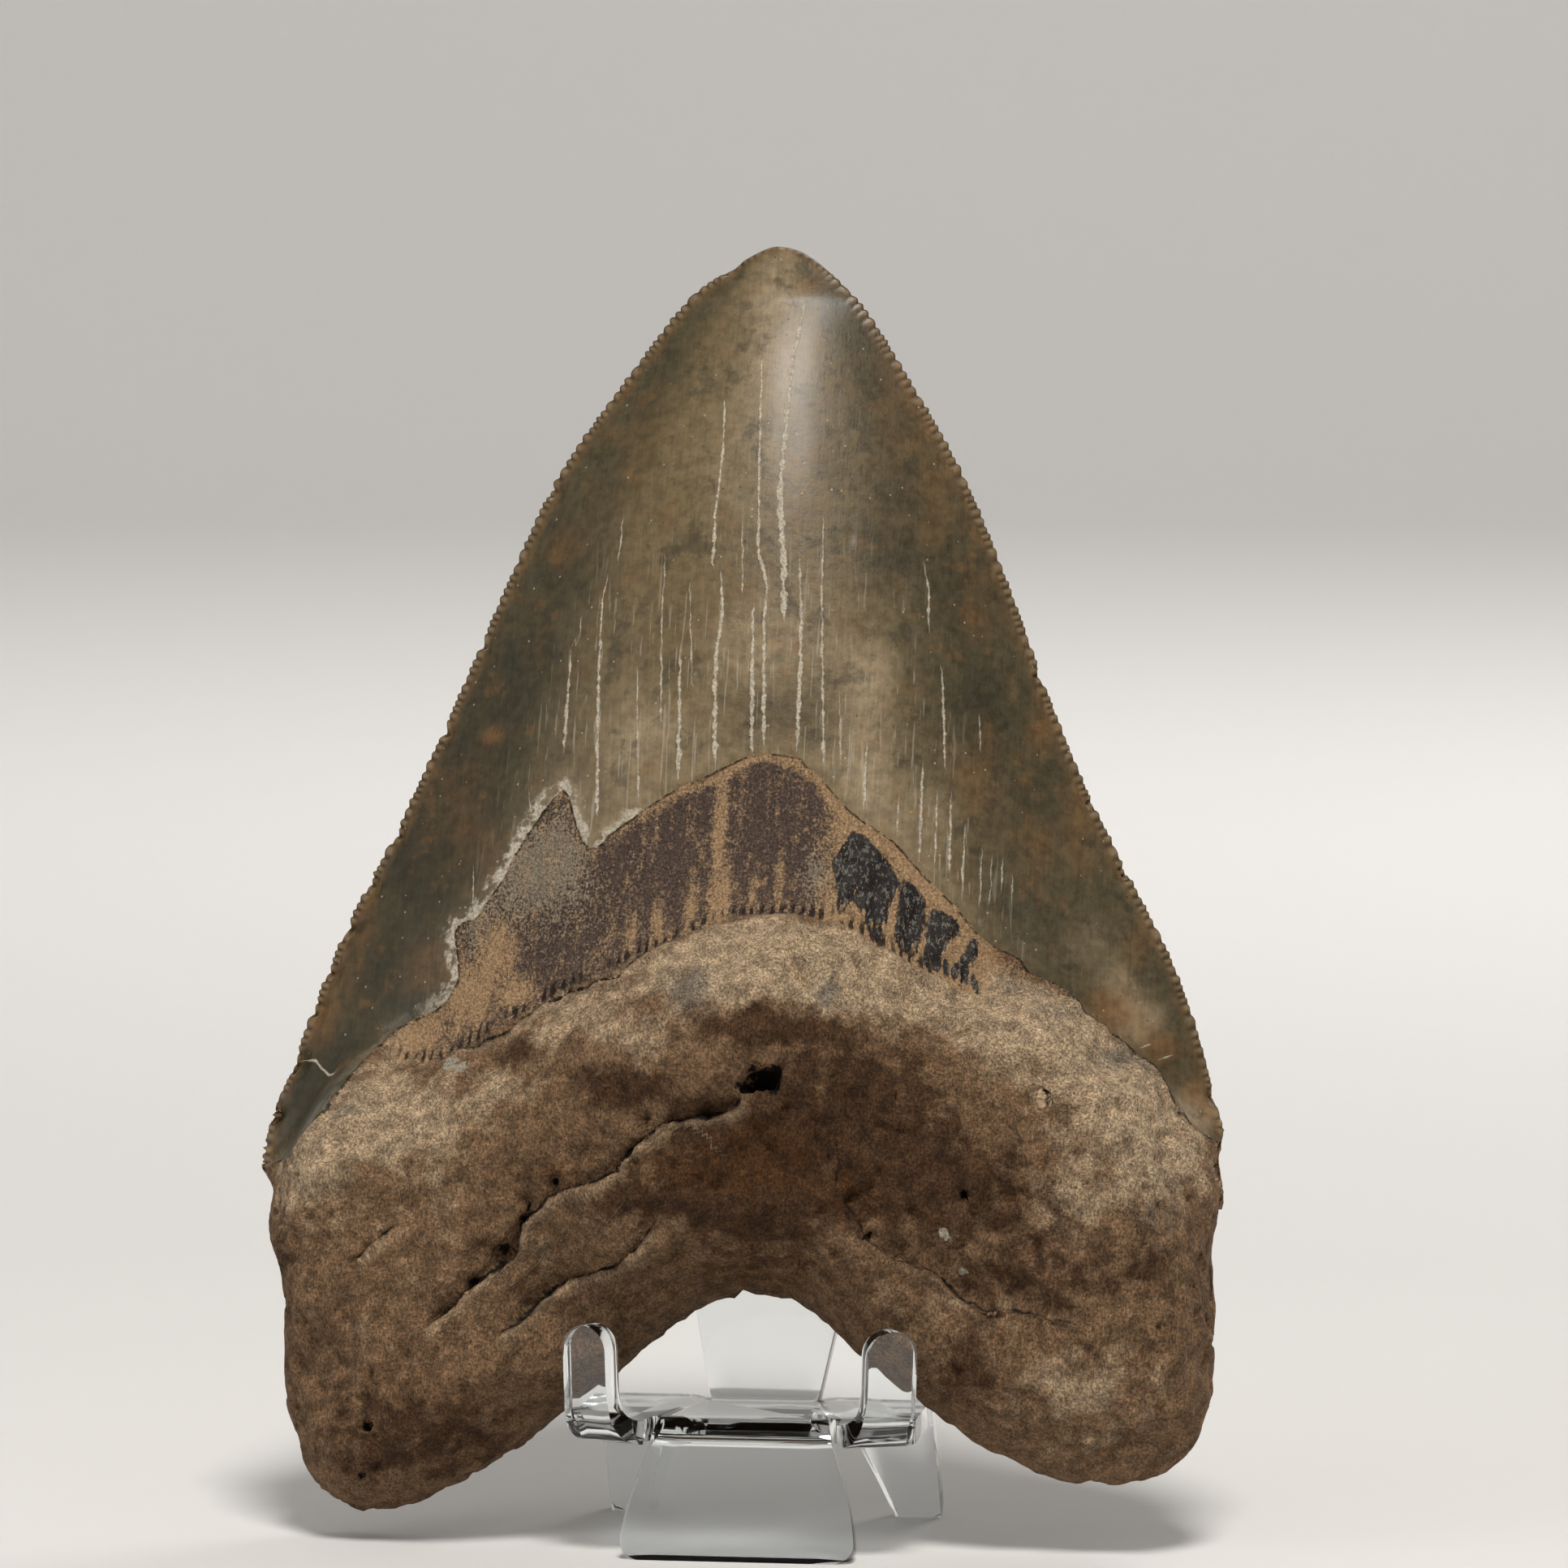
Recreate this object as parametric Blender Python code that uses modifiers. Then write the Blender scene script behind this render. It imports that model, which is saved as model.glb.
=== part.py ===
"""A fossil megalodon tooth leaning on a clear stand bent from one sheet.

Metres, +Z up, the table at z = 0. The tooth shows its tongue side, with the dark band, toward -Y.
The tooth's own coordinates are s across, h up along its leaning back face and d out of that face, in
millimetres.
"""

import math

import bmesh
import bpy
import numpy as np
from mathutils import Matrix, Vector

MM = 0.001

# Tooth: how it leans on the backrest, and where its h = 0 point stands, in millimetres.
LEAN = math.radians(15.0)
TOOTH_FOOT = (0.0, 2.1, 0.0)

# Outline of the crown from its left lower end over the tip to its right lower end, in millimetres.
CROWN_OUTLINE = (
    (-50.7, 35.1), (-50.3, 40.0), (-48.7, 44.3), (-47.5, 48.0), (-43.2, 59.8), (-38.5, 69.8),
    (-33.0, 83.1), (-27.8, 96.4), (-23.5, 106.2), (-16.7, 116.5), (-11.9, 123.2), (-8.9, 126.1),
    (-4.5, 129.0), (-2.1, 129.6), (0.9, 128.5), (4.6, 125.1), (7.4, 121.6), (11.1, 115.8),
    (14.9, 109.6), (18.3, 103.0), (22.3, 93.5), (26.1, 83.7), (30.4, 73.9), (35.5, 64.2),
    (38.9, 57.8), (41.5, 51.3), (43.6, 44.9), (44.9, 40.5),
)
# Outline of the root from the crown's left lower end under both lobes to the crown's right lower end.
ROOT_OUTLINE = (
    (-50.7, 35.1), (-49.4, 32.6), (-49.2, 28.0), (-47.4, 23.3), (-46.8, 16.8), (-46.2, 10.4),
    (-44.1, 4.4), (-41.7, 2.0), (-38.2, 0.9), (-33.3, 1.9), (-28.2, 4.2), (-24.0, 7.1),
    (-18.4, 11.3), (-12.9, 15.8), (-9.1, 19.2), (-5.3, 21.8), (-0.6, 23.2), (3.0, 22.7),
    (6.1, 20.8), (10.4, 17.0), (16.2, 12.8), (19.7, 10.4), (24.1, 8.0), (28.6, 6.1), (32.9, 5.4),
    (39.3, 5.8), (42.6, 8.2), (44.7, 12.1), (45.0, 19.8), (44.4, 28.4), (45.2, 33.6), (44.5, 37.1),
    (44.9, 40.5),
)
# Where the root starts: the lower edge of the dark band, then of the enamel down to both ends.
ROOT_TOP = (
    (-52.0, 33.0), (-48.0, 36.5), (-42.1, 45.4), (-33.2, 47.6), (-25.3, 52.0), (-17.8, 55.7),
    (-9.4, 59.3), (-0.4, 61.4), (8.2, 60.0), (15.8, 55.3), (22.8, 54.4), (28.8, 53.8), (35.8, 47.5),
    (40.6, 42.5), (46.0, 38.0),
)
# Lower edge of the enamel, a thin step: the crown stands over the band here.
ENAMEL_EDGE = (
    (-49.5, 37.0), (-42.1, 44.6), (-34.8, 50.8), (-31.4, 53.4), (-31.2, 58.0), (-27.0, 63.5),
    (-22.8, 70.4), (-19.4, 67.8), (-15.5, 68.6), (-10.0, 72.4), (-3.0, 75.0), (3.0, 75.0),
    (9.0, 69.0), (15.8, 63.4), (20.5, 57.8), (26.0, 54.8), (35.8, 46.9), (44.0, 40.0),
)

# Thickness in millimetres.
CROWN_FULL = 18.5
CROWN_GROWTH = 36.0
TIP_HEIGHT = 131.0
TIP_LEAST = 1.1
BLADE_POWER = 1.1
CROWN_RIM = 2.0
CROWN_FOOT_ROUND = 5.0
ROOT_RIM = 6.5
ROOT_INSET = 0.9
ROOT_FLANK = 15.6
ROOT_BOSS = 8.6
ROOT_SHOULDER = 1.2
BOSS_CENTRE = -1.0
BOSS_SPREAD = 13.0
ROOT_ROUND = 8.5
BACK_ROUND = 6.0
RIM_FADE = 14.0
JOIN_POWER = 6.0

# How the root thins: toward the crown, at its middle and flanks, then toward its lower edge and in its lobes.
FLANK_START = 8.0
FLANK_RUN = 26.0
UPPER_START_MIDDLE = -15.0
UPPER_START_FLANK = -7.0
UPPER_RUN_MIDDLE = 27.0
UPPER_RUN_FLANK = 10.0
LOWER_LOSS = 0.42
LOWER_START = 17.0
LOWER_RUN = 26.0
LOWER_KEPT = 0.75
LOWER_KEPT_START = 20.0
LOWER_KEPT_RUN = 14.0
LOBE_LOSS = 0.18
LOBE_START = 26.0
LOBE_RUN = 20.0
LOBE_TOP = 26.0
LOBE_FALL = 22.0

# Back face.
BLADE_BACK_RUN = 20.0
BLADE_BACK_POWER = 2.4
BACK_EDGE_MIDDLE = 31.0
BACK_EDGE_CURVE = 0.004
BACK_STEP_RUN = 2.4
BACK_GRAIN = 0.12
BACK_GRAIN_FADE = 4.0
BACK_HOLLOW = 0.9
BACK_HOLLOW_HALF = 11.0
BACK_HOLLOW_TOP = 40.0
BACK_HOLLOW_RUN = 20.0
BACK_INSET = 5.0

# Relief of the root's face: fissures as polylines, with depth and half width in millimetres. The raised lip is
# on the left of each.
FISSURES = (
    (
        (
            (-0.6, 38.8), (-7.5, 37.0), (-11.5, 33.8), (-18.3, 30.8), (-22.8, 25.3), (-28.2, 20.3),
            (-32.1, 17.1),
        ),
        1.2,
        1.2,
    ),
    (((-7.8, 28.3), (-10.2, 25.6), (-15.5, 23.3), (-20.1, 21.0), (-25.2, 15.6)), 0.9, 1.1),
    (((-33.8, 28.3), (-36.7, 25.7), (-39.5, 23.5)), 0.7, 1.0),
    (((-24.2, 48.3), (-32.0, 44.9)), 0.7, 1.0),
    (((8.8, 29.2), (9.7, 33.6), (9.2, 38.6)), 0.7, 1.0),
    (((33.8, 19.0), (25.1, 21.9), (18.9, 24.1), (14.2, 25.8), (9.9, 31.2)), 0.9, 1.1),
)
LEDGE_LIP = 0.65
LEDGE_WIDTH = 2.6
RELIEF_INSET = 3.0
RELIEF_FADE = 4.0
ROOT_GRAIN = 0.16
# The hole for the nerve in the middle of the root, and small pits: (s, h, half width, half height, depth).
PITS = (
    (2.6, 41.9, 2.2, 1.5, 3.2),
    (21.5, 31.9, 0.8, 0.8, 1.0),
    (28.7, 41.1, 0.6, 1.4, 0.9),
    (-36.9, 8.4, 0.7, 0.8, 0.9),
    (-37.7, 3.8, 0.6, 0.6, 0.7),
)
# Broad lumps and hollows of the root: (s, h, half width, half height, height).
LUMPS = (
    (-36.0, 34.0, 9.0, 6.0, 0.9),
    (-20.0, 41.0, 7.0, 4.0, 0.5),
    (-30.0, 13.0, 8.0, 6.0, 0.7),
    (-40.0, 20.0, 5.0, 7.0, -0.5),
    (-1.0, 35.0, 5.0, 4.0, -0.6),
    (14.0, 33.0, 7.0, 6.0, -0.5),
    (33.0, 36.0, 8.0, 6.0, 0.8),
    (30.0, 15.0, 9.0, 6.0, 0.6),
    (22.0, 28.0, 5.0, 4.0, -0.5),
    (-17.0, 20.5, 7.2, 6.5, -4.0),
    (17.0, 20.5, 7.0, 6.5, -3.0),
)
ENAMEL_STEP = 0.45
ENAMEL_STEP_RUN = 1.2
ENAMEL_STEP_FADE = 8.0
BACK_STEP = 0.5

# Faceting of the tooth, and its saw edge: serrations of about 1.1 mm, fading out near the tip.
COLUMNS = 66
FRONT_ROWS = 42
BACK_ROWS = 14
SERRATIONS_PER_COLUMN = 3
SERRATION_DEPTH = 0.32
SERRATION_FADE = 6.0
SERRATION_UNEVEN = 0.25
EDGE_ROWS_CLOSER = 7.0
EDGE_ROWS_RUN = 0.025
CROWN_ROWS_CLOSER = 3.0
CROWN_ROWS_RUN = 0.02
ROOT_ROWS_CLOSER = 1.2
ROOT_ROWS_SHARE = 0.45
OUTLINE_STEPS = 40

# Stand, in millimetres.
SHEET = 2.3
LEDGE_TOP = 13.1
# Right half of the level part, from the tongue's bend round past the hook's and the leg's to the backrest's.
LEDGE_OUTLINE = (
    (8.2, -7.0), (8.7, -7.3), (9.1, -8.0), (9.5, -9.3), (9.9, -10.9), (16.0, -8.0), (16.5, -7.0),
    (16.6, -6.0), (16.6, 6.5), (6.8, 6.5), (6.4, 6.2), (5.6, 5.2), (5.0, 5.0),
)
BEND_RADIUS = 2.3
BEND_STEPS = 6
RUN_STEPS = 9
RUN_CLOSER = 1.8
FOOT_CORNER = 1.8

TONGUE_START = -7.0
TONGUE_BEND = math.radians(71.0)
TONGUE_TOP_HALF = 8.2
TONGUE_FOOT_HALF = 11.5
TONGUE_OVERLAP = 2.0
TONGUE_SWEEP = 1.25
# How far the legs and the tongue run on below the table before they are cut level there.
FOOT_EXTRA = 1.0
FOOT_CORNER_RAISE = 0.25

HOOK_CENTRE = (14.9, -10.9)
HOOK_TURN = math.radians(25.0)
HOOK_HALF = 2.45
HOOK_FLARE = 2.5
HOOK_RISE = 7.1
HOOK_ROOT = 4.0
HOOK_OVERLAP = 0.8
HOOK_SPLAY = 0.4
HOOK_OFFSET = 0.6
HOOK_FLARE_START = -1.0
HOOK_FLARE_RUN = 7.0

BACKREST_START = 5.0
BACKREST_BEND = math.radians(75.0)
BACKREST_LENGTH = 34.0
BACKREST_HALF = 5.0
BACKREST_FLARE = 0.2
BACKREST_CORNER = 4.0
BACKREST_OVERLAP = 1.0

LEG_START = 6.5
LEG_BEND = math.radians(56.0)
LEG_OUTER = 16.6
LEG_INNER_TOP = 6.8
LEG_INNER_FOOT = 12.2
LEG_OVERLAP = 1.5
LEG_EXTRA = 1.2
LEG_CORNER = 1.0
LEG_TAPER = 0.8

TOOTH_COLOUR = (0.19, 0.13, 0.075, 1.0)
STAND_COLOUR = (0.92, 0.95, 0.96, 1.0)


def clear_scene():
    for obj in list(bpy.data.objects):
        bpy.data.objects.remove(obj, do_unlink=True)
    bpy.context.scene.unit_settings.system = "METRIC"


def collection(name):
    made = bpy.data.collections.new(name)
    bpy.context.scene.collection.children.link(made)
    return made


def material(name, colour, roughness, transmission=0.0):
    mat = bpy.data.materials.new(name)
    mat.use_nodes = True
    shader = mat.node_tree.nodes["Principled BSDF"]
    shader.inputs["Base Color"].default_value = colour
    shader.inputs["Roughness"].default_value = roughness
    shader.inputs["Transmission Weight"].default_value = transmission
    return mat


def mesh_object(name, bm, where, mat=None):
    bmesh.ops.recalc_face_normals(bm, faces=bm.faces)
    mesh = bpy.data.meshes.new(name)
    bm.to_mesh(mesh)
    bm.free()
    obj = bpy.data.objects.new(name, mesh)
    where.objects.link(obj)
    if mat:
        mesh.materials.append(mat)
    return obj


def cutter(obj):
    obj.hide_render = True
    obj.display_type = "WIRE"
    return obj


# Curves in the plane of the tooth


def smooth_curve(points, steps=OUTLINE_STEPS):
    """A smooth line through the points, as an array of closely spaced points."""
    p = np.array(points, float)
    p = np.vstack([2 * p[0] - p[1], p, 2 * p[-1] - p[-2]])
    t = np.linspace(0.0, 1.0, steps, endpoint=False)[:, None]
    runs = []
    for a, b, c, d in zip(p, p[1:], p[2:], p[3:]):
        bend = (2 * a - 5 * b + 4 * c - d) * t**2 + (3 * b - a - 3 * c + d) * t**3
        runs.append(0.5 * (2 * b + (c - a) * t + bend))
    return np.vstack(runs + [p[-2:-1]])


def at_fraction(curve, fraction):
    """Points of the curve at these fractions of its length."""
    along = np.concatenate([[0.0], np.cumsum(np.linalg.norm(np.diff(curve, axis=0), axis=1))])
    along /= along[-1]
    return np.column_stack([np.interp(fraction, along, curve[:, k]) for k in (0, 1)])


def nearest(points, curve):
    """Distance from each point to the curve, and which side of it the point is on (positive on its left)."""
    a = curve[:-1]
    b = curve[1:]
    along = b - a
    span = np.maximum((along**2).sum(1), 1e-12)
    best = np.full(len(points), 1e9)
    side = np.ones(len(points))
    for start, run, length in zip(a, along, span):
        rel = points - start
        t = np.clip((rel @ run) / length, 0.0, 1.0)
        off = rel - t[:, None] * run
        dist = np.hypot(off[:, 0], off[:, 1])
        closer = dist < best
        best[closer] = dist[closer]
        side[closer] = np.sign(run[0] * rel[closer, 1] - run[1] * rel[closer, 0])
    return best, side


def round_rise(x, radius):
    """0 at an edge, rising like a quarter circle to 1 at this distance inside it."""
    t = 1.0 - np.clip(x / radius, 0.0, 1.0)
    return np.sqrt(1.0 - t * t)


def smoothstep(x):
    t = np.clip(x, 0.0, 1.0)
    return t * t * (3.0 - 2.0 * t)


CROWN_CURVE = smooth_curve(CROWN_OUTLINE)
ROOT_CURVE = smooth_curve(ROOT_OUTLINE)
TOP_CURVE = smooth_curve(ROOT_TOP, 8)
ENAMEL_CURVE = smooth_curve(ENAMEL_EDGE, 4)


def crown_sides(h):
    """The crown's left and right margins at this height."""
    tip = int(np.argmax(CROWN_CURVE[:, 1]))
    left = CROWN_CURVE[: tip + 1]
    right = CROWN_CURVE[tip:][::-1]
    return np.interp(h, left[:, 1], left[:, 0]), np.interp(h, right[:, 1], right[:, 0])


def rim_level(points):
    """How far out of the back face the tooth's edge lies: low at the blade, in mid-thickness at the root."""
    s, h = points.T
    top = np.interp(s, TOP_CURVE[:, 0], TOP_CURVE[:, 1])
    return CROWN_RIM + (ROOT_RIM - CROWN_RIM) * smoothstep((top - h) / RIM_FADE)


def front_height(points, to_crown, to_root):
    """The tongue side of the tooth, out of its back face."""
    s, h = points.T
    top = np.interp(s, TOP_CURVE[:, 0], TOP_CURVE[:, 1])
    above = h - top
    left, right = crown_sides(h)
    across = np.clip(np.abs(2.0 * s - left - right) / (right - left + 1e-6), 0.0, 1.0)
    full = CROWN_FULL * (1.0 - np.exp(-(TIP_HEIGHT - h) / CROWN_GROWTH))
    full = np.maximum(full - CROWN_RIM, TIP_LEAST)
    crown = full * (1.0 - across**2) ** BLADE_POWER * round_rise(to_root, ROOT_ROUND)

    flank = smoothstep((np.abs(s) - FLANK_START) / FLANK_RUN)
    boss = ROOT_FLANK + ROOT_BOSS * np.exp(-((s - BOSS_CENTRE) ** 2) / (2.0 * BOSS_SPREAD**2))
    start = UPPER_START_MIDDLE + (UPPER_START_FLANK - UPPER_START_MIDDLE) * flank
    run = UPPER_RUN_MIDDLE + (UPPER_RUN_FLANK - UPPER_RUN_MIDDLE) * flank
    upper = np.exp(-((np.maximum(above - start, 0.0) / run) ** 2))
    kept = 1.0 - LOWER_KEPT * smoothstep((np.abs(s) - LOWER_KEPT_START) / LOWER_KEPT_RUN)
    lower = 1.0 - LOWER_LOSS * smoothstep((-above - LOWER_START) / LOWER_RUN) * kept
    outer = smoothstep((np.abs(s) - LOBE_START) / LOBE_RUN)
    lobe = 1.0 - LOBE_LOSS * outer * smoothstep((LOBE_TOP - h) / LOBE_FALL)
    root = np.maximum(boss * upper * lower * lobe - ROOT_RIM * ROOT_INSET, 0.05) + ROOT_SHOULDER * upper
    root = root * round_rise(to_root, ROOT_ROUND) * round_rise(to_crown, CROWN_FOOT_ROUND)
    body = (crown**JOIN_POWER + root**JOIN_POWER) ** (1.0 / JOIN_POWER)

    inside = smoothstep(np.minimum(to_crown, to_root) / RELIEF_INSET)
    return rim_level(points) + body + inside * relief(points, above)


def uneven(s, h, pitch):
    """Soft waves from about -1 to 1 that cross each other."""
    return np.sin(s / pitch + 0.5 * h / pitch) * np.sin(0.35 * s / pitch - 1.2 * h / pitch)


def relief(points, above):
    """Fissures, ledges, pits and lumps of the root's face, and the step at the enamel's edge."""
    s, h = points.T
    rise = np.zeros(len(points))
    for line, depth, half in FISSURES:
        dist, side = nearest(points, np.array(line, float))
        rise -= depth * np.exp(-((dist / half) ** 2))
        lip = LEDGE_LIP * np.exp(-(((dist - LEDGE_WIDTH) / LEDGE_WIDTH) ** 2))
        rise += np.where(side > 0.0, lip, 0.0)
    for cs, ch, half_s, half_h, depth in PITS:
        rise -= depth * np.exp(-(((s - cs) / half_s) ** 2) - ((h - ch) / half_h) ** 2)
    rooted = smoothstep(-above / RELIEF_FADE)
    for cs, ch, half_s, half_h, height in LUMPS:
        rise += rooted * height * np.exp(-(((s - cs) / half_s) ** 2) - ((h - ch) / half_h) ** 2)
    rise += ROOT_GRAIN * rooted * (uneven(s, h, 1.4) + 0.5 * uneven(s, h, 0.9))
    dist, side = nearest(points, ENAMEL_CURVE)
    step = smoothstep(0.5 + 0.5 * side * dist / ENAMEL_STEP_RUN)
    return rise + ENAMEL_STEP * step * smoothstep(above / ENAMEL_STEP_FADE + 1.0)


def back_height(points, to_crown, to_root):
    """The lip side: nearly flat, with the root set back below its own enamel edge and its lobes rounded."""
    s, h = points.T
    rim = rim_level(points)
    rooted = smoothstep((rim - CROWN_RIM) / (ROOT_RIM - CROWN_RIM))
    gap = np.minimum(to_crown, to_root)
    blade = 1.0 - (1.0 - np.clip(gap / BLADE_BACK_RUN, 0.0, 1.0)) ** BLADE_BACK_POWER
    shape = blade + (round_rise(gap, BACK_ROUND) - blade) * rooted
    below = BACK_EDGE_MIDDLE + BACK_EDGE_CURVE * s * s - h
    set_back = BACK_STEP * smoothstep(below / BACK_STEP_RUN)
    hollow = BACK_HOLLOW * np.exp(-((s / BACK_HOLLOW_HALF) ** 2))
    hollow = hollow * smoothstep((BACK_HOLLOW_TOP - h) / BACK_HOLLOW_RUN)
    grain = BACK_GRAIN * uneven(s, h, 1.8) * smoothstep(below / BACK_GRAIN_FADE)
    return rim * (1.0 - shape) + smoothstep(gap / BACK_INSET) * (set_back + hollow + grain)


def row_fractions(rows, root_weight):
    """Fractions from the root's edge to the crown's edge, closer together at both edges and over the root."""
    w = np.linspace(0.0, 1.0, 2001)
    density = 1.0 + EDGE_ROWS_CLOSER * np.exp(-w / EDGE_ROWS_RUN) + root_weight * (w < ROOT_ROWS_SHARE)
    density += CROWN_ROWS_CLOSER * np.exp(-(1.0 - w) / CROWN_ROWS_RUN)
    total = np.concatenate([[0.0], np.cumsum(0.5 * (density[1:] + density[:-1]))])
    return np.interp(np.linspace(0.0, total[-1], rows + 1), total, w)


def to_world(points, d):
    """Tooth coordinates in millimetres to metres in the room."""
    s, h = points.T
    x = TOOTH_FOOT[0] + s
    y = TOOTH_FOOT[1] + h * math.sin(LEAN) - d * math.cos(LEAN)
    z = TOOTH_FOOT[2] + h * math.cos(LEAN) + d * math.sin(LEAN)
    return np.column_stack([x, y, z]) * MM


def face_grid(bm, rows, root_weight, height):
    """One face of the tooth: a grid stretched between the root's and the crown's outlines, then raised."""
    made = bmesh.ops.create_grid(bm, x_segments=COLUMNS, y_segments=rows, size=1.0)["verts"]
    across = np.array([v.co.x for v in made]) * 0.5 + 0.5
    up = np.array([v.co.y for v in made]) * 0.5 + 0.5
    fraction = row_fractions(rows, root_weight)[np.rint(up * rows).astype(int)][:, None]
    low = at_fraction(ROOT_CURVE, across)
    high = at_fraction(CROWN_CURVE, across)
    flat = low + (high - low) * fraction
    to_crown, _ = nearest(flat, CROWN_CURVE[::4])
    to_root, _ = nearest(flat, ROOT_CURVE[::4])
    on_rim = (fraction[:, 0] < 1e-9) | (fraction[:, 0] > 1.0 - 1e-9)
    on_rim |= (across < 1e-6) | (across > 1.0 - 1e-6)
    to_crown[on_rim] = 0.0
    to_root[on_rim] = 0.0
    d = height(flat, to_crown, to_root)
    for vert, place in zip(made, to_world(flat, d)):
        vert.co = place
    return made


def saw_edge(bm):
    """Cuts the crown's edge into serrations, each standing out as a small point."""
    count = 2 * SERRATIONS_PER_COLUMN
    stops = np.linspace(0.0, 1.0, COLUMNS * count + 1)
    rim = at_fraction(CROWN_CURVE, stops)
    tangent = np.gradient(rim, axis=0)
    outward = np.column_stack([-tangent[:, 1], tangent[:, 0]]) / np.linalg.norm(tangent, axis=1)[:, None]
    tip = rim[:, 1].max()
    depth = SERRATION_DEPTH * smoothstep((tip - rim[:, 1]) / SERRATION_FADE)
    depth *= 1.0 - SERRATION_UNEVEN + SERRATION_UNEVEN * np.sin(np.arange(len(rim)) * 1.7)
    depth[0 : len(depth) : 2] = 0.0
    flat = rim + outward * depth[:, None]
    places = to_world(flat, rim_level(rim))
    plain = [Vector(place) for place in to_world(rim, rim_level(rim))]
    corner = {i: None for i in range(0, COLUMNS * count + 1, count)}
    for vert in bm.verts:
        for i in corner:
            if (vert.co - plain[i]).length < 1e-6:
                corner[i] = vert
    for i in range(0, COLUMNS * count, count):
        chain = [corner[i]]
        for k in range(1, count):
            edge = bm.edges.get((chain[-1], corner[i + count]))
            _, vert = bmesh.utils.edge_split(edge, chain[-1], 1.0 / (count - k + 1))
            vert.co = places[i + k]
            chain.append(vert)
        chain.append(corner[i + count])
        for face in list(chain[1].link_faces):
            fan(bm, face, chain)


def fan(bm, face, chain):
    """Replaces a face along the saw edge by triangles from the row behind the edge to each serration."""
    verts = list(face.verts)
    turned = verts[verts.index(chain[-1]) :] + verts[: verts.index(chain[-1])]
    if turned[1] in chain:
        turned = [turned[0]] + turned[:0:-1]
    behind = [v for v in turned if v not in chain]
    middle = len(chain) // 2 if len(behind) == 2 else 0
    bm.faces.remove(face)
    for k, (one, two) in enumerate(zip(chain, chain[1:])):
        bm.faces.new((one, two, behind[-1] if k < middle else behind[0]))
    if len(behind) == 2:
        bm.faces.new((chain[middle], behind[0], behind[1]))


def build_tooth(where):
    bm = bmesh.new()
    face_grid(bm, FRONT_ROWS, ROOT_ROWS_CLOSER, front_height)
    face_grid(bm, BACK_ROWS, 0.0, back_height)
    bmesh.ops.remove_doubles(bm, verts=bm.verts, dist=1e-7)
    saw_edge(bm)
    bmesh.ops.triangulate(bm, faces=bm.faces, ngon_method="BEAUTY")
    tooth = mesh_object("tooth", bm, where, material("fossil", TOOTH_COLOUR, 0.6))
    for face in tooth.data.polygons:
        face.use_smooth = True
    return tooth


# The stand


def bent_path(start, heading, angle, length, upward):
    """Arc lengths, forward and up positions of a strip that runs level, bends once and goes straight on."""
    sign = 1.0 if upward else -1.0
    turn = np.linspace(0.0, angle, BEND_STEPS + 1)
    forward = abs(start) + BEND_RADIUS * np.sin(turn)
    up = sign * BEND_RADIUS * (1.0 - np.cos(turn))
    arc = BEND_RADIUS * turn
    forward = np.concatenate([[heading], forward])
    up = np.concatenate([[0.0], up])
    arc = np.concatenate([[heading - abs(start)], arc])
    run = (1.0 - (1.0 - np.linspace(0.0, 1.0, RUN_STEPS + 1)[1:]) ** RUN_CLOSER) * length
    forward = np.concatenate([forward, forward[-1] + run * math.cos(angle)])
    up = np.concatenate([up, up[-1] + sign * run * math.sin(angle)])
    return np.concatenate([arc, arc[-1] + run]), forward, up


def strip(name, path, low_side, high_side, place, across, helpers):
    """A strip of the sheet: its middle surface follows the path between two sides, then it is made thick."""
    arc, forward, up = path
    bm = bmesh.new()
    made = bmesh.ops.create_grid(bm, x_segments=across, y_segments=len(arc) - 1, size=1.0)["verts"]
    for vert in made:
        row = int(round((vert.co.y * 0.5 + 0.5) * (len(arc) - 1)))
        t = vert.co.x * 0.5 + 0.5
        side = low_side(arc[row], arc[-1]) * (1.0 - t) + high_side(arc[row], arc[-1]) * t
        x, y = place(side, forward[row])
        vert.co = (x * MM, y * MM, (LEDGE_TOP - SHEET / 2 + up[row]) * MM)
    bmesh.ops.remove_doubles(bm, verts=bm.verts, dist=1e-7)
    obj = cutter(mesh_object(name, bm, helpers))
    thick = obj.modifiers.new("sheet", "SOLIDIFY")
    thick.thickness = SHEET * MM
    thick.offset = 0.0
    thick.use_even_offset = True
    return obj


def rounded_end(distance, radius):
    """How much narrower the strip is at this distance from its end, for a round corner of this radius."""
    t = 1.0 - np.clip(distance / radius, 0.0, 1.0)
    return radius * (1.0 - math.sqrt(1.0 - t * t))


def straight_to_table(angle):
    """Length of the straight run from a bend of this angle down to the table."""
    drop = LEDGE_TOP - SHEET / 2 - BEND_RADIUS * (1.0 - math.cos(angle))
    return drop / math.sin(angle)


def tongue(helpers):
    length = straight_to_table(TONGUE_BEND)
    path = bent_path(TONGUE_START, TONGUE_OVERLAP, TONGUE_BEND, length + FOOT_EXTRA, False)

    def half(arc, total):
        left = total - FOOT_EXTRA - arc
        t = np.clip(arc / (total - FOOT_EXTRA), 0.0, 1.0)
        sweep = math.sin(0.5 * math.pi * t) ** TONGUE_SWEEP
        wide = TONGUE_TOP_HALF + (TONGUE_FOOT_HALF - TONGUE_TOP_HALF) * sweep
        return wide - rounded_end(max(left + FOOT_CORNER_RAISE, 0.0), FOOT_CORNER)

    def low(arc, total):
        return -half(arc, total)

    def place(side, forward):
        return side, -forward

    return strip("tongue", path, low, half, place, 2, helpers)


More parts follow.
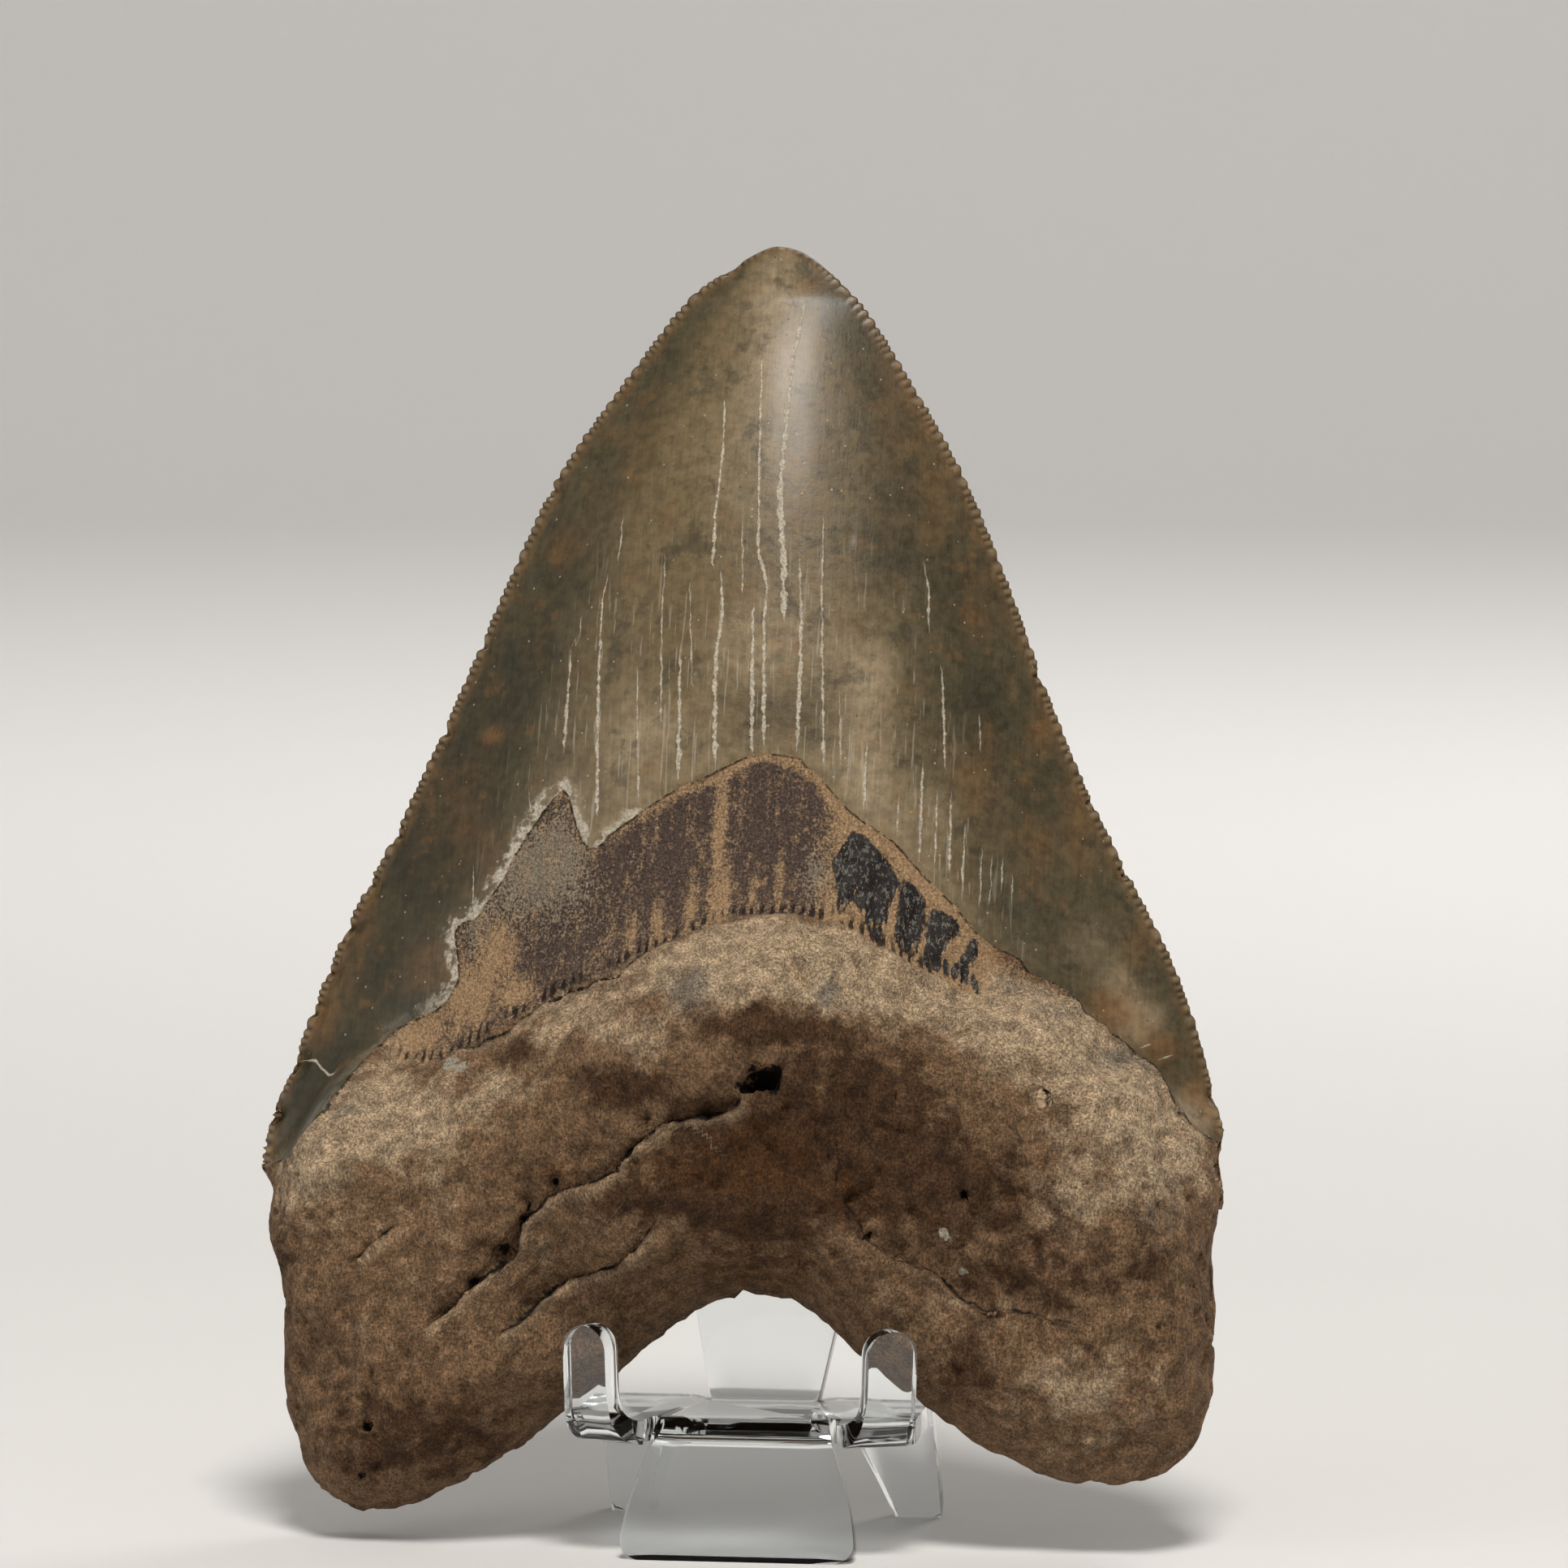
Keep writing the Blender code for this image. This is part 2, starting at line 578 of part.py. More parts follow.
def hook(name, hand, helpers):
    """One hook: it leaves the ledge's corner turned outward, and its inner side flares into the ledge."""
    start_x = HOOK_CENTRE[0] - BEND_RADIUS * math.sin(HOOK_TURN)
    start_y = HOOK_CENTRE[1] + BEND_RADIUS * math.cos(HOOK_TURN)
    path = bent_path(HOOK_ROOT, HOOK_ROOT - HOOK_OVERLAP, math.radians(90.0), HOOK_RISE + SHEET / 2, True)

    def outer(arc, total):
        splay = HOOK_SPLAY * np.clip(arc / total, 0.0, 1.0)
        return HOOK_HALF - HOOK_OFFSET + splay - rounded_end(total - arc, HOOK_HALF)

    def inner(arc, total):
        flare = HOOK_FLARE * (1.0 - np.clip((arc - HOOK_FLARE_START) / HOOK_FLARE_RUN, 0.0, 1.0)) ** 2
        splay = HOOK_SPLAY * np.clip(arc / total, 0.0, 1.0)
        return -(HOOK_HALF + HOOK_OFFSET + flare - splay - rounded_end(total - arc, HOOK_HALF))

    def place(side, forward):
        out = forward - HOOK_ROOT
        x = start_x + out * math.sin(HOOK_TURN) + side * math.cos(HOOK_TURN)
        y = start_y - out * math.cos(HOOK_TURN) + side * math.sin(HOOK_TURN)
        return hand * x, y

    return strip(name, path, inner, outer, place, 2, helpers)


def backrest(helpers):
    path = bent_path(BACKREST_START, BACKREST_OVERLAP, BACKREST_BEND, BACKREST_LENGTH, True)

    def half(arc, total):
        wide = BACKREST_HALF + BACKREST_FLARE * max(arc, 0.0)
        return wide - rounded_end(total - arc, BACKREST_CORNER)

    def low(arc, total):
        return -half(arc, total)

    def place(side, forward):
        return side, forward

    return strip("backrest", path, low, half, place, 2, helpers)


def leg(name, hand, helpers):
    length = straight_to_table(LEG_BEND)
    path = bent_path(LEG_START, LEG_OVERLAP, LEG_BEND, length + LEG_EXTRA, False)

    def outer(arc, total):
        return LEG_OUTER - rounded_end(max(total - LEG_CORNER - arc, 0.0), LEG_CORNER)

    def inner(arc, total):
        t = np.clip(arc / (total - LEG_EXTRA), 0.0, 1.0)
        return LEG_INNER_TOP + (LEG_INNER_FOOT - LEG_INNER_TOP) * t**LEG_TAPER

    def place(side, forward):
        return hand * side, forward

    return strip(name, path, inner, outer, place, 1, helpers)


def ledge(where, mat):
    """The level middle of the sheet, which ends where each arm starts to bend."""
    bm = bmesh.new()
    outline = list(LEDGE_OUTLINE) + [(-x, y) for x, y in reversed(LEDGE_OUTLINE)]
    corners = [bm.verts.new((x * MM, y * MM, (LEDGE_TOP - SHEET) * MM)) for x, y in outline]
    base = bm.faces.new(corners)
    raised = bmesh.ops.extrude_face_region(bm, geom=[base])["geom"]
    upper = [g for g in raised if isinstance(g, bmesh.types.BMVert)]
    bmesh.ops.translate(bm, verts=upper, vec=(0, 0, SHEET * MM))
    return mesh_object("stand", bm, where, mat)


def build_stand(where, helpers):
    stand = ledge(where, material("clear_plastic", STAND_COLOUR, 0.05, 1.0))
    arms = (
        tongue(helpers),
        backrest(helpers),
        hook("hook_left", -1.0, helpers),
        hook("hook_right", 1.0, helpers),
        leg("leg_left", -1.0, helpers),
        leg("leg_right", 1.0, helpers),
    )
    for arm in arms:
        join = stand.modifiers.new("join " + arm.name, "BOOLEAN")
        join.operation = "UNION"
        join.solver = "EXACT"
        join.object = arm
    bm = bmesh.new()
    bmesh.ops.create_cube(bm, size=1.0)
    bmesh.ops.scale(bm, vec=(80 * MM, 80 * MM, 10 * MM), verts=bm.verts)
    bmesh.ops.translate(bm, vec=(0, 0, -5 * MM), verts=bm.verts)
    table = cutter(mesh_object("table_cut", bm, helpers))
    trim = stand.modifiers.new("flat feet", "BOOLEAN")
    trim.operation = "DIFFERENCE"
    trim.solver = "EXACT"
    trim.object = table
    return stand


def centre_on_origin():
    """Moves everything level, so that the middle of the whole object's outer box stands over the origin."""
    graph = bpy.context.evaluated_depsgraph_get()
    corners = []
    for name in ("tooth", "stand"):
        mesh = bpy.data.objects[name].evaluated_get(graph).to_mesh()
        corners += [v.co.copy() for v in mesh.vertices]
    middle = [0.5 * (min(c[k] for c in corners) + max(c[k] for c in corners)) for k in (0, 1)]
    for obj in bpy.data.objects:
        obj.data.transform(Matrix.Translation((-middle[0], -middle[1], 0.0)))


def main():
    clear_scene()
    model = collection("megalodon_tooth")
    helpers = collection("helpers")
    helpers.hide_render = True
    build_tooth(model)
    build_stand(model, helpers)
    centre_on_origin()


main()
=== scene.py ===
"""A fossil megalodon tooth leaning on a clear stand bent from one sheet, laid out as an add-on.

Metres, +Z up, the table at z = 0. The tooth shows its tongue side, with the dark band, toward -Y.
The tooth's own coordinates are s across, h up along its leaning back face and d out of that face, in
millimetres.
"""

import math

import bpy
import numpy as np
from bpy.props import FloatProperty, FloatVectorProperty, PointerProperty
from mathutils import Matrix, Vector


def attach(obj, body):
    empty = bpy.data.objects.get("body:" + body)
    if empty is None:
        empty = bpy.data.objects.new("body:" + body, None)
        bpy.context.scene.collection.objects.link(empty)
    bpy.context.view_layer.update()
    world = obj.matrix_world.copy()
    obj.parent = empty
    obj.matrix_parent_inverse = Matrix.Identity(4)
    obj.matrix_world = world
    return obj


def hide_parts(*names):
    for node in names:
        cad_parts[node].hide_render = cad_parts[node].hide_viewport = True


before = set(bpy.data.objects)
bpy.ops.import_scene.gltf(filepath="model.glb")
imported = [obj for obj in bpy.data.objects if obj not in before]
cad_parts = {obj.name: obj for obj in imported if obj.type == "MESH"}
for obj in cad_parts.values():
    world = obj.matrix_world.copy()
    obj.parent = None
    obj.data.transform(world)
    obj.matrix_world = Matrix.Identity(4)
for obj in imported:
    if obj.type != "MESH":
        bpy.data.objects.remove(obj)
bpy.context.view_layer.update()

bl_info = {
    "name": "Megalodon Tooth on a Clear Stand",
    "version": (1, 0, 0),
    "blender": (4, 5, 0),
    "location": "3D View > Sidebar > Tooth",
    "description": "Builds a fossil shark tooth with enamel, band and root, and the clear stand under it",
    "category": "Object",
}

MM = 0.001


def paint(red, green, blue):
    """A colour given on a 0 to 255 scale, as the linear colour that a shader takes."""
    out = []
    for value in (red, green, blue):
        c = value / 255.0
        out.append(c / 12.92 if c <= 0.04045 else ((c + 0.055) / 1.055) ** 2.4)
    return tuple(out)


# The tooth's shape: how it leans on the backrest, and where its s = h = d = 0 point stands, in millimetres.
LEAN = math.radians(15.0)
TOOTH_FOOT = (2.909, -7.774, 0.0)

# Outline of the crown from its left lower end over the tip to its right lower end.
CROWN_OUTLINE = (
    (-50.7, 35.1), (-50.3, 40.0), (-48.7, 44.3), (-47.5, 48.0), (-43.2, 59.8), (-38.5, 69.8),
    (-33.0, 83.1), (-27.8, 96.4), (-23.5, 106.2), (-16.7, 116.5), (-11.9, 123.2), (-8.9, 126.1),
    (-4.5, 129.0), (-2.1, 129.6), (0.9, 128.5), (4.6, 125.1), (7.4, 121.6), (11.1, 115.8),
    (14.9, 109.6), (18.3, 103.0), (22.3, 93.5), (26.1, 83.7), (30.4, 73.9), (35.5, 64.2),
    (38.9, 57.8), (41.5, 51.3), (43.6, 44.9), (44.9, 40.5),
)
# Outline of the root from the crown's left lower end under both lobes to the crown's right lower end.
ROOT_OUTLINE = (
    (-50.7, 35.1), (-49.4, 32.6), (-49.2, 28.0), (-47.4, 23.3), (-46.8, 16.8), (-46.2, 10.4),
    (-44.1, 4.4), (-41.7, 2.0), (-38.2, 0.9), (-33.3, 1.9), (-28.2, 4.2), (-24.0, 7.1),
    (-18.4, 11.3), (-12.9, 15.8), (-9.1, 19.2), (-5.3, 21.8), (-0.6, 23.2), (3.0, 22.7),
    (6.1, 20.8), (10.4, 17.0), (16.2, 12.8), (19.7, 10.4), (24.1, 8.0), (28.6, 6.1), (32.9, 5.4),
    (39.3, 5.8), (42.6, 8.2), (44.7, 12.1), (45.0, 19.8), (44.4, 28.4), (45.2, 33.6), (44.5, 37.1),
    (44.9, 40.5),
)
# Where the root's own swelling starts, below the dark band.
ROOT_TOP = (
    (-52.0, 33.0), (-48.0, 36.5), (-42.1, 45.4), (-33.2, 47.6), (-25.3, 52.0), (-17.8, 55.7),
    (-9.4, 59.3), (-0.4, 61.4), (8.2, 60.0), (15.8, 55.3), (22.8, 54.4), (28.8, 53.8), (35.8, 47.5),
    (40.6, 42.5), (46.0, 38.0),
)
# The enamel's lower edge with its notch, from the crown's left lower end to its right lower end.
ENAMEL_EDGE = (
    (-50.6, 34.8), (-48.8, 35.7), (-46.2, 35.3), (-43.4, 38.9), (-40.8, 43.9), (-37.5, 48.3),
    (-34.3, 49.8), (-32.3, 50.7), (-31.3, 52.1), (-30.7, 53.3), (-30.9, 55.5), (-31.5, 58.2),
    (-30.9, 59.2), (-29.2, 59.5), (-28.1, 61.2), (-26.6, 63.4), (-25.8, 65.0), (-24.6, 67.3),
    (-23.2, 69.4), (-21.8, 71.3), (-20.6, 72.3), (-19.9, 71.1), (-18.9, 68.2), (-18.2, 66.7),
    (-17.1, 66.1), (-16.2, 66.6), (-15.2, 67.7), (-13.1, 69.0), (-10.9, 70.7), (-8.3, 72.2),
    (-5.7, 73.3), (-2.7, 74.9), (-0.5, 75.6), (1.2, 75.5), (3.0, 75.3), (4.0, 74.4), (5.2, 73.5),
    (6.9, 71.6), (8.7, 69.8), (11.0, 68.3), (13.0, 66.9), (16.1, 63.6), (18.7, 61.2), (21.3, 58.2),
    (23.2, 57.1), (25.1, 56.3), (26.1, 54.9), (29.0, 53.9), (30.6, 52.6), (31.7, 51.0), (33.8, 49.8),
    (35.9, 48.3), (38.4, 46.4), (39.8, 43.9), (40.8, 42.4), (42.5, 40.3), (44.9, 39.3),
)
# The dark band's lower edge, with its row of small notches.
BAND_EDGE = (
    (-38.3, 45.9), (-35.3, 45.0), (-31.4, 44.8), (-29.2, 46.0), (-26.9, 47.4), (-23.4, 49.1),
    (-19.9, 51.3), (-15.9, 52.6), (-11.9, 54.5), (-7.4, 56.1), (-3.6, 57.8), (1.2, 58.5), (6.1, 58.8),
    (9.3, 57.7), (12.8, 55.7), (16.6, 53.8), (21.3, 51.8), (23.4, 52.6), (25.6, 55.0),
)
# Glossy black patches that are left of the band's own skin.
SKIN_PATCHES = (
    (
        (8.7, 68.2), (9.9, 67.6), (11.5, 66.0), (12.7, 64.6), (13.4, 62.9), (12.7, 61.2), (12.4, 59.0),
        (11.9, 56.9), (11.4, 56.6), (10.5, 58.4), (9.7, 60.2), (8.8, 60.9), (8.3, 59.1), (7.6, 59.9),
        (7.4, 62.4), (6.8, 64.9), (7.7, 66.5),
    ),
    (
        (13.7, 63.5), (15.0, 62.8), (15.9, 61.7), (16.0, 59.7), (15.6, 57.2), (15.1, 55.5), (14.0, 56.1),
        (13.0, 57.4), (13.3, 59.7), (13.3, 62.0),
    ),
    (
        (16.6, 60.8), (17.8, 60.5), (19.3, 59.5), (19.5, 58.4), (18.3, 57.6), (17.8, 56.1), (18.8, 55.0),
        (20.0, 56.7), (20.4, 58.4), (21.2, 57.5), (21.1, 56.0), (20.3, 55.3), (21.4, 53.5), (21.8, 51.5),
        (20.7, 53.0), (19.5, 53.5), (17.1, 54.4), (15.4, 55.2), (16.2, 57.3), (16.1, 59.2),
    ),
)
# Fissures of the root as polylines, each with its depth and half width. The raised lip is on its left.
FISSURES = (
    (
        (
            (1.0, 40.4), (-0.6, 38.8), (-3.9, 38.1), (-7.5, 37.0), (-9.9, 35.6), (-11.5, 33.8), (-12.9, 32.2),
            (-15.1, 31.5), (-18.3, 30.8), (-19.7, 29.7), (-21.5, 28.2), (-22.8, 25.3), (-24.5, 23.9),
            (-26.5, 22.1), (-28.2, 20.3), (-29.6, 18.7), (-32.1, 17.1),
        ),
        1.2,
        0.30,
    ),
    (
        (
            (-7.8, 28.3), (-8.8, 27.7), (-9.6, 26.5), (-10.2, 25.6), (-12.0, 24.6), (-15.5, 23.3),
            (-17.8, 22.4), (-20.1, 21.0), (-22.2, 19.1), (-23.7, 17.1), (-25.2, 15.6),
        ),
        1.0,
        0.30,
    ),
    (((-33.8, 28.3), (-35.3, 27.1), (-36.7, 25.7), (-38.1, 24.6), (-39.5, 23.5)), 0.9, 0.34),
    (
        (
            (-6.2, 57.0), (-9.2, 56.1), (-12.2, 54.1), (-16.2, 52.1), (-19.4, 51.3), (-21.9, 50.1),
            (-24.2, 47.9), (-26.9, 47.1), (-29.6, 46.3), (-32.2, 45.1),
        ),
        0.9,
        0.40,
    ),
    (((5.2, 27.6), (5.1, 24.5), (4.4, 23.0)), 0.5, 0.20),
    (((8.8, 29.2), (9.2, 31.4), (9.7, 33.6), (9.4, 36.2), (9.2, 38.6)), 0.5, 0.24),
    (
        (
            (33.8, 19.0), (31.8, 20.0), (29.2, 20.8), (25.1, 21.9), (23.1, 21.7), (20.4, 23.0), (18.9, 24.1),
            (16.1, 24.9), (14.2, 25.8), (12.3, 27.4), (11.6, 29.4), (9.9, 31.2),
        ),
        1.2,
        0.13,
    ),
    (((28.6, 42.8), (28.9, 41.1), (28.6, 39.9)), 0.9, 0.34),
    (((29.1, 24.6), (27.0, 26.0), (26.0, 28.0), (24.0, 31.4)), 0.5, 0.08),
    (((-7.8, 28.2), (-7.5, 30.3), (-6.7, 32.5), (-5.8, 34.1), (-5.5, 36.2)), 0.5, 0.10),
)
LEDGE_LIP = 0.75
LEDGE_WIDTH = 2.4
LEDGE_TURN = 0.9
# A fissure's walls, the least width that the mesh can hold, and the half width from which it is fully deep.
FISSURE_WALL = 0.15
FISSURE_LEAST = 0.3
FISSURE_FULL = 0.25
# It wanders off its line with this swing, fades at its ends, and is unevenly deep along its run.
FISSURE_WANDER = 0.30
FISSURE_WANDER_SIZE = 2.6
FISSURE_WANDER_FINE = 0.9
FISSURE_END = 2.5
FISSURE_END_SHARE = 0.45
FISSURE_DEPTH_MEAN = 0.72
FISSURE_DEPTH_SWING = 0.5
FISSURE_DEPTH_SIZE = 2.2
FISSURE_DEPTH_RANGE = (0.15, 1.2)
FISSURE_REACH = 7.0
FISSURE_NONE = 9.0
# The hole for the nerve and small pits: (s, h, half width, half height, depth). The walls start outside the
# half width and run inward.
PIT_REACH = 1.35
PIT_WALL = 1.1
PITS = (
    (2.3, 41.7, 1.5, 1.1, 2.6),
    (1.0, 40.9, 1.1, 0.6, 1.0),
    (3.5, 42.5, 0.8, 0.7, 0.8),
    (3.4, 40.8, 0.6, 0.8, 0.8),
    (21.5, 31.9, 0.5, 0.6, 1.3),
    (-36.9, 8.4, 0.4, 0.5, 1.1),
    (-37.7, 3.8, 0.4, 0.5, 0.9),
    (-38.9, 4.5, 0.2, 0.3, 0.4),
    (-18.3, 32.1, 0.6, 0.5, 1.0),
    (-21.5, 28.5, 0.6, 0.6, 1.0),
    (-23.6, 25.6, 0.9, 0.4, 1.0),
    (-21.0, 29.6, 0.3, 0.3, 0.5),
    (12.3, 27.5, 0.3, 0.4, 0.5),
    (4.5, 60.6, 0.3, 0.6, 0.5),
    (6.3, 59.1, 0.3, 0.6, 0.5),
    (6.7, 98.4, 0.3, 0.5, 0.35),
)
# Broad lumps and hollows of the root: (s, h, half width, half height, height). They fade toward the crown.
LUMP_FADE = 4.0
LUMPS = (
    (-36.0, 34.0, 9.0, 6.0, 0.9),
    (-20.0, 41.0, 7.0, 4.0, 0.5),
    (-30.0, 13.0, 8.0, 6.0, 0.7),
    (-40.0, 20.0, 5.0, 7.0, -0.5),
    (-1.0, 35.0, 5.0, 4.0, -0.6),
    (14.0, 33.0, 7.0, 6.0, -0.5),
    (33.0, 36.0, 8.0, 6.0, 0.8),
    (30.0, 15.0, 9.0, 6.0, 0.6),
    (22.0, 28.0, 5.0, 4.0, -0.5),
    (-17.0, 20.5, 7.2, 6.5, -4.0),
    (17.0, 20.5, 7.0, 6.5, -3.0),
)
# Pale filled cracks down the enamel: how they taper to their ends and widen downward, then polylines with
# their half width. Close neighbours are in different sets.
CRACK_END = 1.6
CRACK_END_SHARE = 0.4
CRACK_POINT = 0.7
CRACK_START_WIDTH = 0.7
CRACK_GROWTH = 0.65
CRACK_REACH = 1.6
CRACKS_A = (
    (((0.7, 124.0), (-0.1, 117.3), (-0.2, 110.1), (-0.3, 102.5), (0.7, 93.7), (0.9, 89.1)), 0.27),
    (((-6.6, 113.0), (-6.3, 107.1), (-6.6, 100.6), (-6.5, 94.5)), 0.15),
    (((-2.2, 91.3), (-1.5, 75.5)), 0.19),
    (((-3.9, 100.6), (-3.3, 91.3)), 0.09),
    (((4.1, 100.9), (4.5, 91.6), (5.6, 74.4)), 0.12),
    (((-11.5, 96.6), (-11.4, 89.2), (-10.8, 78.6)), 0.10),
    (((-9.3, 86.8), (-8.7, 72.5)), 0.20),
    (((-13.7, 85.1), (-12.6, 70.2)), 0.10),
    (((-17.4, 94.7), (-17.9, 91.9), (-17.7, 84.9), (-16.9, 69.0)), 0.17),
    (((-29.9, 65.4), (-29.6, 60.5)), 0.09),
    (((13.7, 97.1), (14.5, 93.9), (14.8, 88.9)), 0.10),
    (((15.0, 76.0), (15.2, 65.2)), 0.13),
    (((17.8, 73.1), (18.1, 64.1)), 0.13),
    (((21.0, 67.6), (21.1, 60.9)), 0.08),
    (((23.0, 66.8), (23.0, 62.8)), 0.09),
    (((36.5, 48.2), (37.9, 48.8)), 0.08),
    (((9.6, 77.9), (9.7, 70.0)), 0.12),
    (
        (
            (-48.2, 45.8), (-47.3, 46.1), (-45.8, 45.9), (-44.9, 44.9), (-44.0, 44.2), (-43.2, 44.2),
            (-42.8, 45.0),
        ),
        0.14,
    ),
)
CRACKS_B = (
    (((-5.7, 94.5), (-5.2, 90.0), (-5.6, 85.4), (-5.1, 74.2)), 0.22),
    (((-3.2, 117.8), (-2.6, 107.1), (-2.0, 95.9), (-1.0, 93.6), (-1.0, 89.1), (-0.3, 76.1)), 0.16),
    (((2.0, 96.6), (2.5, 91.5), (2.8, 86.0), (2.9, 75.7)), 0.19),
    (((-8.8, 93.7), (-7.8, 82.2)), 0.08),
    (((-16.3, 101.2), (-16.5, 95.5)), 0.10),
    (((-20.0, 90.7), (-20.2, 87.4)), 0.09),
    (((-20.9, 87.5), (-20.9, 80.6), (-20.9, 75.9)), 0.17),
    (((16.1, 86.2), (16.7, 80.8), (17.1, 74.9)), 0.12),
    (((16.5, 73.0), (16.7, 64.9)), 0.12),
    (((19.3, 70.0), (19.4, 62.4)), 0.10),
    (((19.9, 81.7), (20.4, 76.9)), 0.07),
    (((12.9, 72.2), (13.0, 67.7)), 0.10),
    (((22.0, 67.2), (22.0, 61.2)), 0.07),
    (((24.0, 65.4), (24.1, 61.4)), 0.07),
    (((38.3, 47.1), (40.0, 47.9)), 0.09),
    (((6.7, 82.6), (7.3, 74.0)), 0.09),
    (((-24.5, 73.0), (-23.9, 69.6)), 0.06),
)
# Serrations: how their spacing drifts along the edge, how round and uneven they are, and where they are worn.
SERRATION_DRIFT = ((0.35, 0.61), (0.25, 1.37))
SERRATION_ROUND = 0.75
SERRATION_UNEVEN = 0.18
SERRATION_LOW = 0.45
SERRATION_LOW_END = 44.0
SERRATION_LOW_RUN = 8.0
TIP_WORN = 3.0
TIP_WORN_RUN = 9.0
RIB_LENGTH = 0.9
RIB_RISE = 0.07
CHIP_RIM = 0.4
# Flakes broken out of the crown's cutting edge: (s, h, radius, how far in, how deep).
EDGE_CHIPS = (
    (-23.9, 104.0, 1.1, 0.35, 0.45),
    (25.6, 86.0, 1.0, 0.45, 0.45),
    (-30.6, 88.5, 0.9, 0.30, 0.35),
    (-34.2, 79.5, 1.1, 0.40, 0.40),
    (-38.8, 69.0, 1.1, 0.40, 0.40),
    (-41.0, 63.8, 1.2, 0.30, 0.40),
    (-43.0, 59.2, 1.3, 0.30, 0.45),
    (-44.6, 54.9, 1.1, 0.25, 0.40),
    (-46.0, 51.2, 1.2, 0.30, 0.45),
    (-47.9, 45.8, 1.6, 0.35, 0.50),
    (-49.8, 40.6, 1.1, 0.25, 0.35),
    (-7.2, 127.4, 1.4, 0.25, 0.40),
    (34.2, 66.2, 1.0, 0.35, 0.35),
    (30.6, 73.0, 0.8, 0.25, 0.30),
    (43.9, 44.0, 1.0, 0.35, 0.40),
)

# What stands for no mark and no band here, in millimetres, and how strong the stains are on the back, with
# the enamel's painted highlights.
OFF_MARK = 9.0
OFF_BAND = 60.0
BACK_ENAMEL_STAINS_AND_HIGHLIGHTS = 0.35
BACK_ROOT_STAINS = 0.4
# Stains of the enamel, some pale ones partly painted highlights: (s, h, half width, half height, strength).
ENAMEL_AMBER = (
    (-28.7, 78.6, 1.3, 0.8, 0.9),
    (1.1, 125.6, 1.8, 1.0, 0.6),
    (2.3, 86.5, 0.7, 0.7, 1.0),
    (-33.0, 73.0, 4.5, 8.0, 0.30),
    (-29.0, 66.0, 4.0, 6.0, 0.35),
    (-43.5, 54.5, 2.6, 3.5, 0.35),
    (-45.8, 50.0, 2.6, 3.4, 0.60),
    (-33.5, 54.5, 3.0, 3.0, 0.7),
    (-41.5, 60.0, 1.6, 4.0, 0.5),
    (11.0, 114.0, 4.0, 8.0, 0.45),
    (15.0, 103.0, 4.0, 8.0, 0.40),
    (19.0, 91.0, 2.4, 3.0, 0.45),
    (20.0, 74.0, 3.0, 7.0, 0.45),
    (26.0, 68.0, 2.6, 3.5, 0.50),
    (34.0, 52.0, 2.6, 2.4, 0.95),
    (38.5, 48.5, 2.4, 2.6, 0.75),
    (42.5, 44.0, 2.4, 3.0, 0.60),
    (30.0, 71.0, 2.0, 6.0, 0.60),
    (26.0, 81.0, 1.6, 5.0, 0.50),
    (36.0, 60.0, 1.8, 5.0, 0.45),
    (-22.0, 98.0, 3.0, 3.4, 0.50),
    (-15.0, 108.0, 4.0, 6.0, 0.35),
    (-25.0, 88.0, 3.0, 4.0, 0.25),
)
ENAMEL_DARK = (
    (-46.0, 43.5, 3.0, 4.5, 0.60),
    (-22.5, 96.0, 4.0, 6.5, 0.75),
    (-27.0, 84.0, 5.5, 7.0, 0.80),
    (-35.0, 64.5, 4.0, 6.0, 0.75),
    (-38.0, 53.0, 5.0, 5.0, 0.85),
    (-45.5, 44.0, 4.5, 6.0, 1.0),
    (-30.0, 76.0, 5.0, 8.0, 0.6),
    (-36.5, 71.0, 3.5, 7.0, 0.9),
    (-30.0, 68.0, 4.0, 7.0, 0.5),
    (-42.0, 59.0, 3.5, 5.0, 0.5),
    (10.0, 103.0, 4.0, 9.0, 0.4),
    (17.5, 95.0, 3.0, 6.0, 0.65),
    (20.0, 83.0, 4.5, 7.0, 0.75),
    (27.0, 74.0, 4.0, 6.0, 0.55),
    (4.0, 105.5, 2.0, 2.0, 0.50),
    (9.0, 98.0, 3.0, 4.0, 0.35),
    (25.0, 62.0, 4.0, 3.0, 0.50),
    (38.0, 55.0, 3.0, 5.0, 0.40),
    (12.0, 121.0, 3.0, 4.0, 0.50),
    (-15.0, 117.0, 4.0, 5.0, 0.40),
    (0.0, 79.8, 7.5, 2.6, 0.45),
)
# Pale clouds. Those at the tip (h 117.5 and 125.8) are partly a painted highlight where the tip glows, and
# those at s 35 to 36.5, h 51 to 55 partly a painted sheen on the crown's right lower corner.
ENAMEL_PALE = (
    (36.0, 51.5, 2.6, 2.4, 0.35),
    (14.5, 71.0, 4.0, 3.5, 0.35),
    (-2.4, 125.8, 2.6, 3.6, 1.0),
    (-1.6, 117.5, 3.4, 5.5, 0.85),
    (-3.0, 106.0, 7.0, 9.0, 0.45),
    (2.0, 90.0, 8.0, 8.0, 0.30),
    (9.5, 75.0, 3.6, 6.5, 0.85),
    (9.5, 84.0, 2.2, 3.5, 0.75),
    (-14.0, 76.0, 3.5, 6.5, 0.65),
    (-8.0, 78.0, 5.0, 4.0, 0.50),
    (-1.0, 86.0, 8.0, 4.5, 0.50),
    (31.5, 57.5, 3.5, 4.0, 0.35),
    (35.0, 55.0, 2.2, 2.2, 0.45),
    (16.5, 67.0, 3.5, 5.0, 0.35),
    (36.5, 51.0, 3.0, 3.0, 0.75),
    (42.5, 42.5, 2.5, 3.0, 0.95),
)
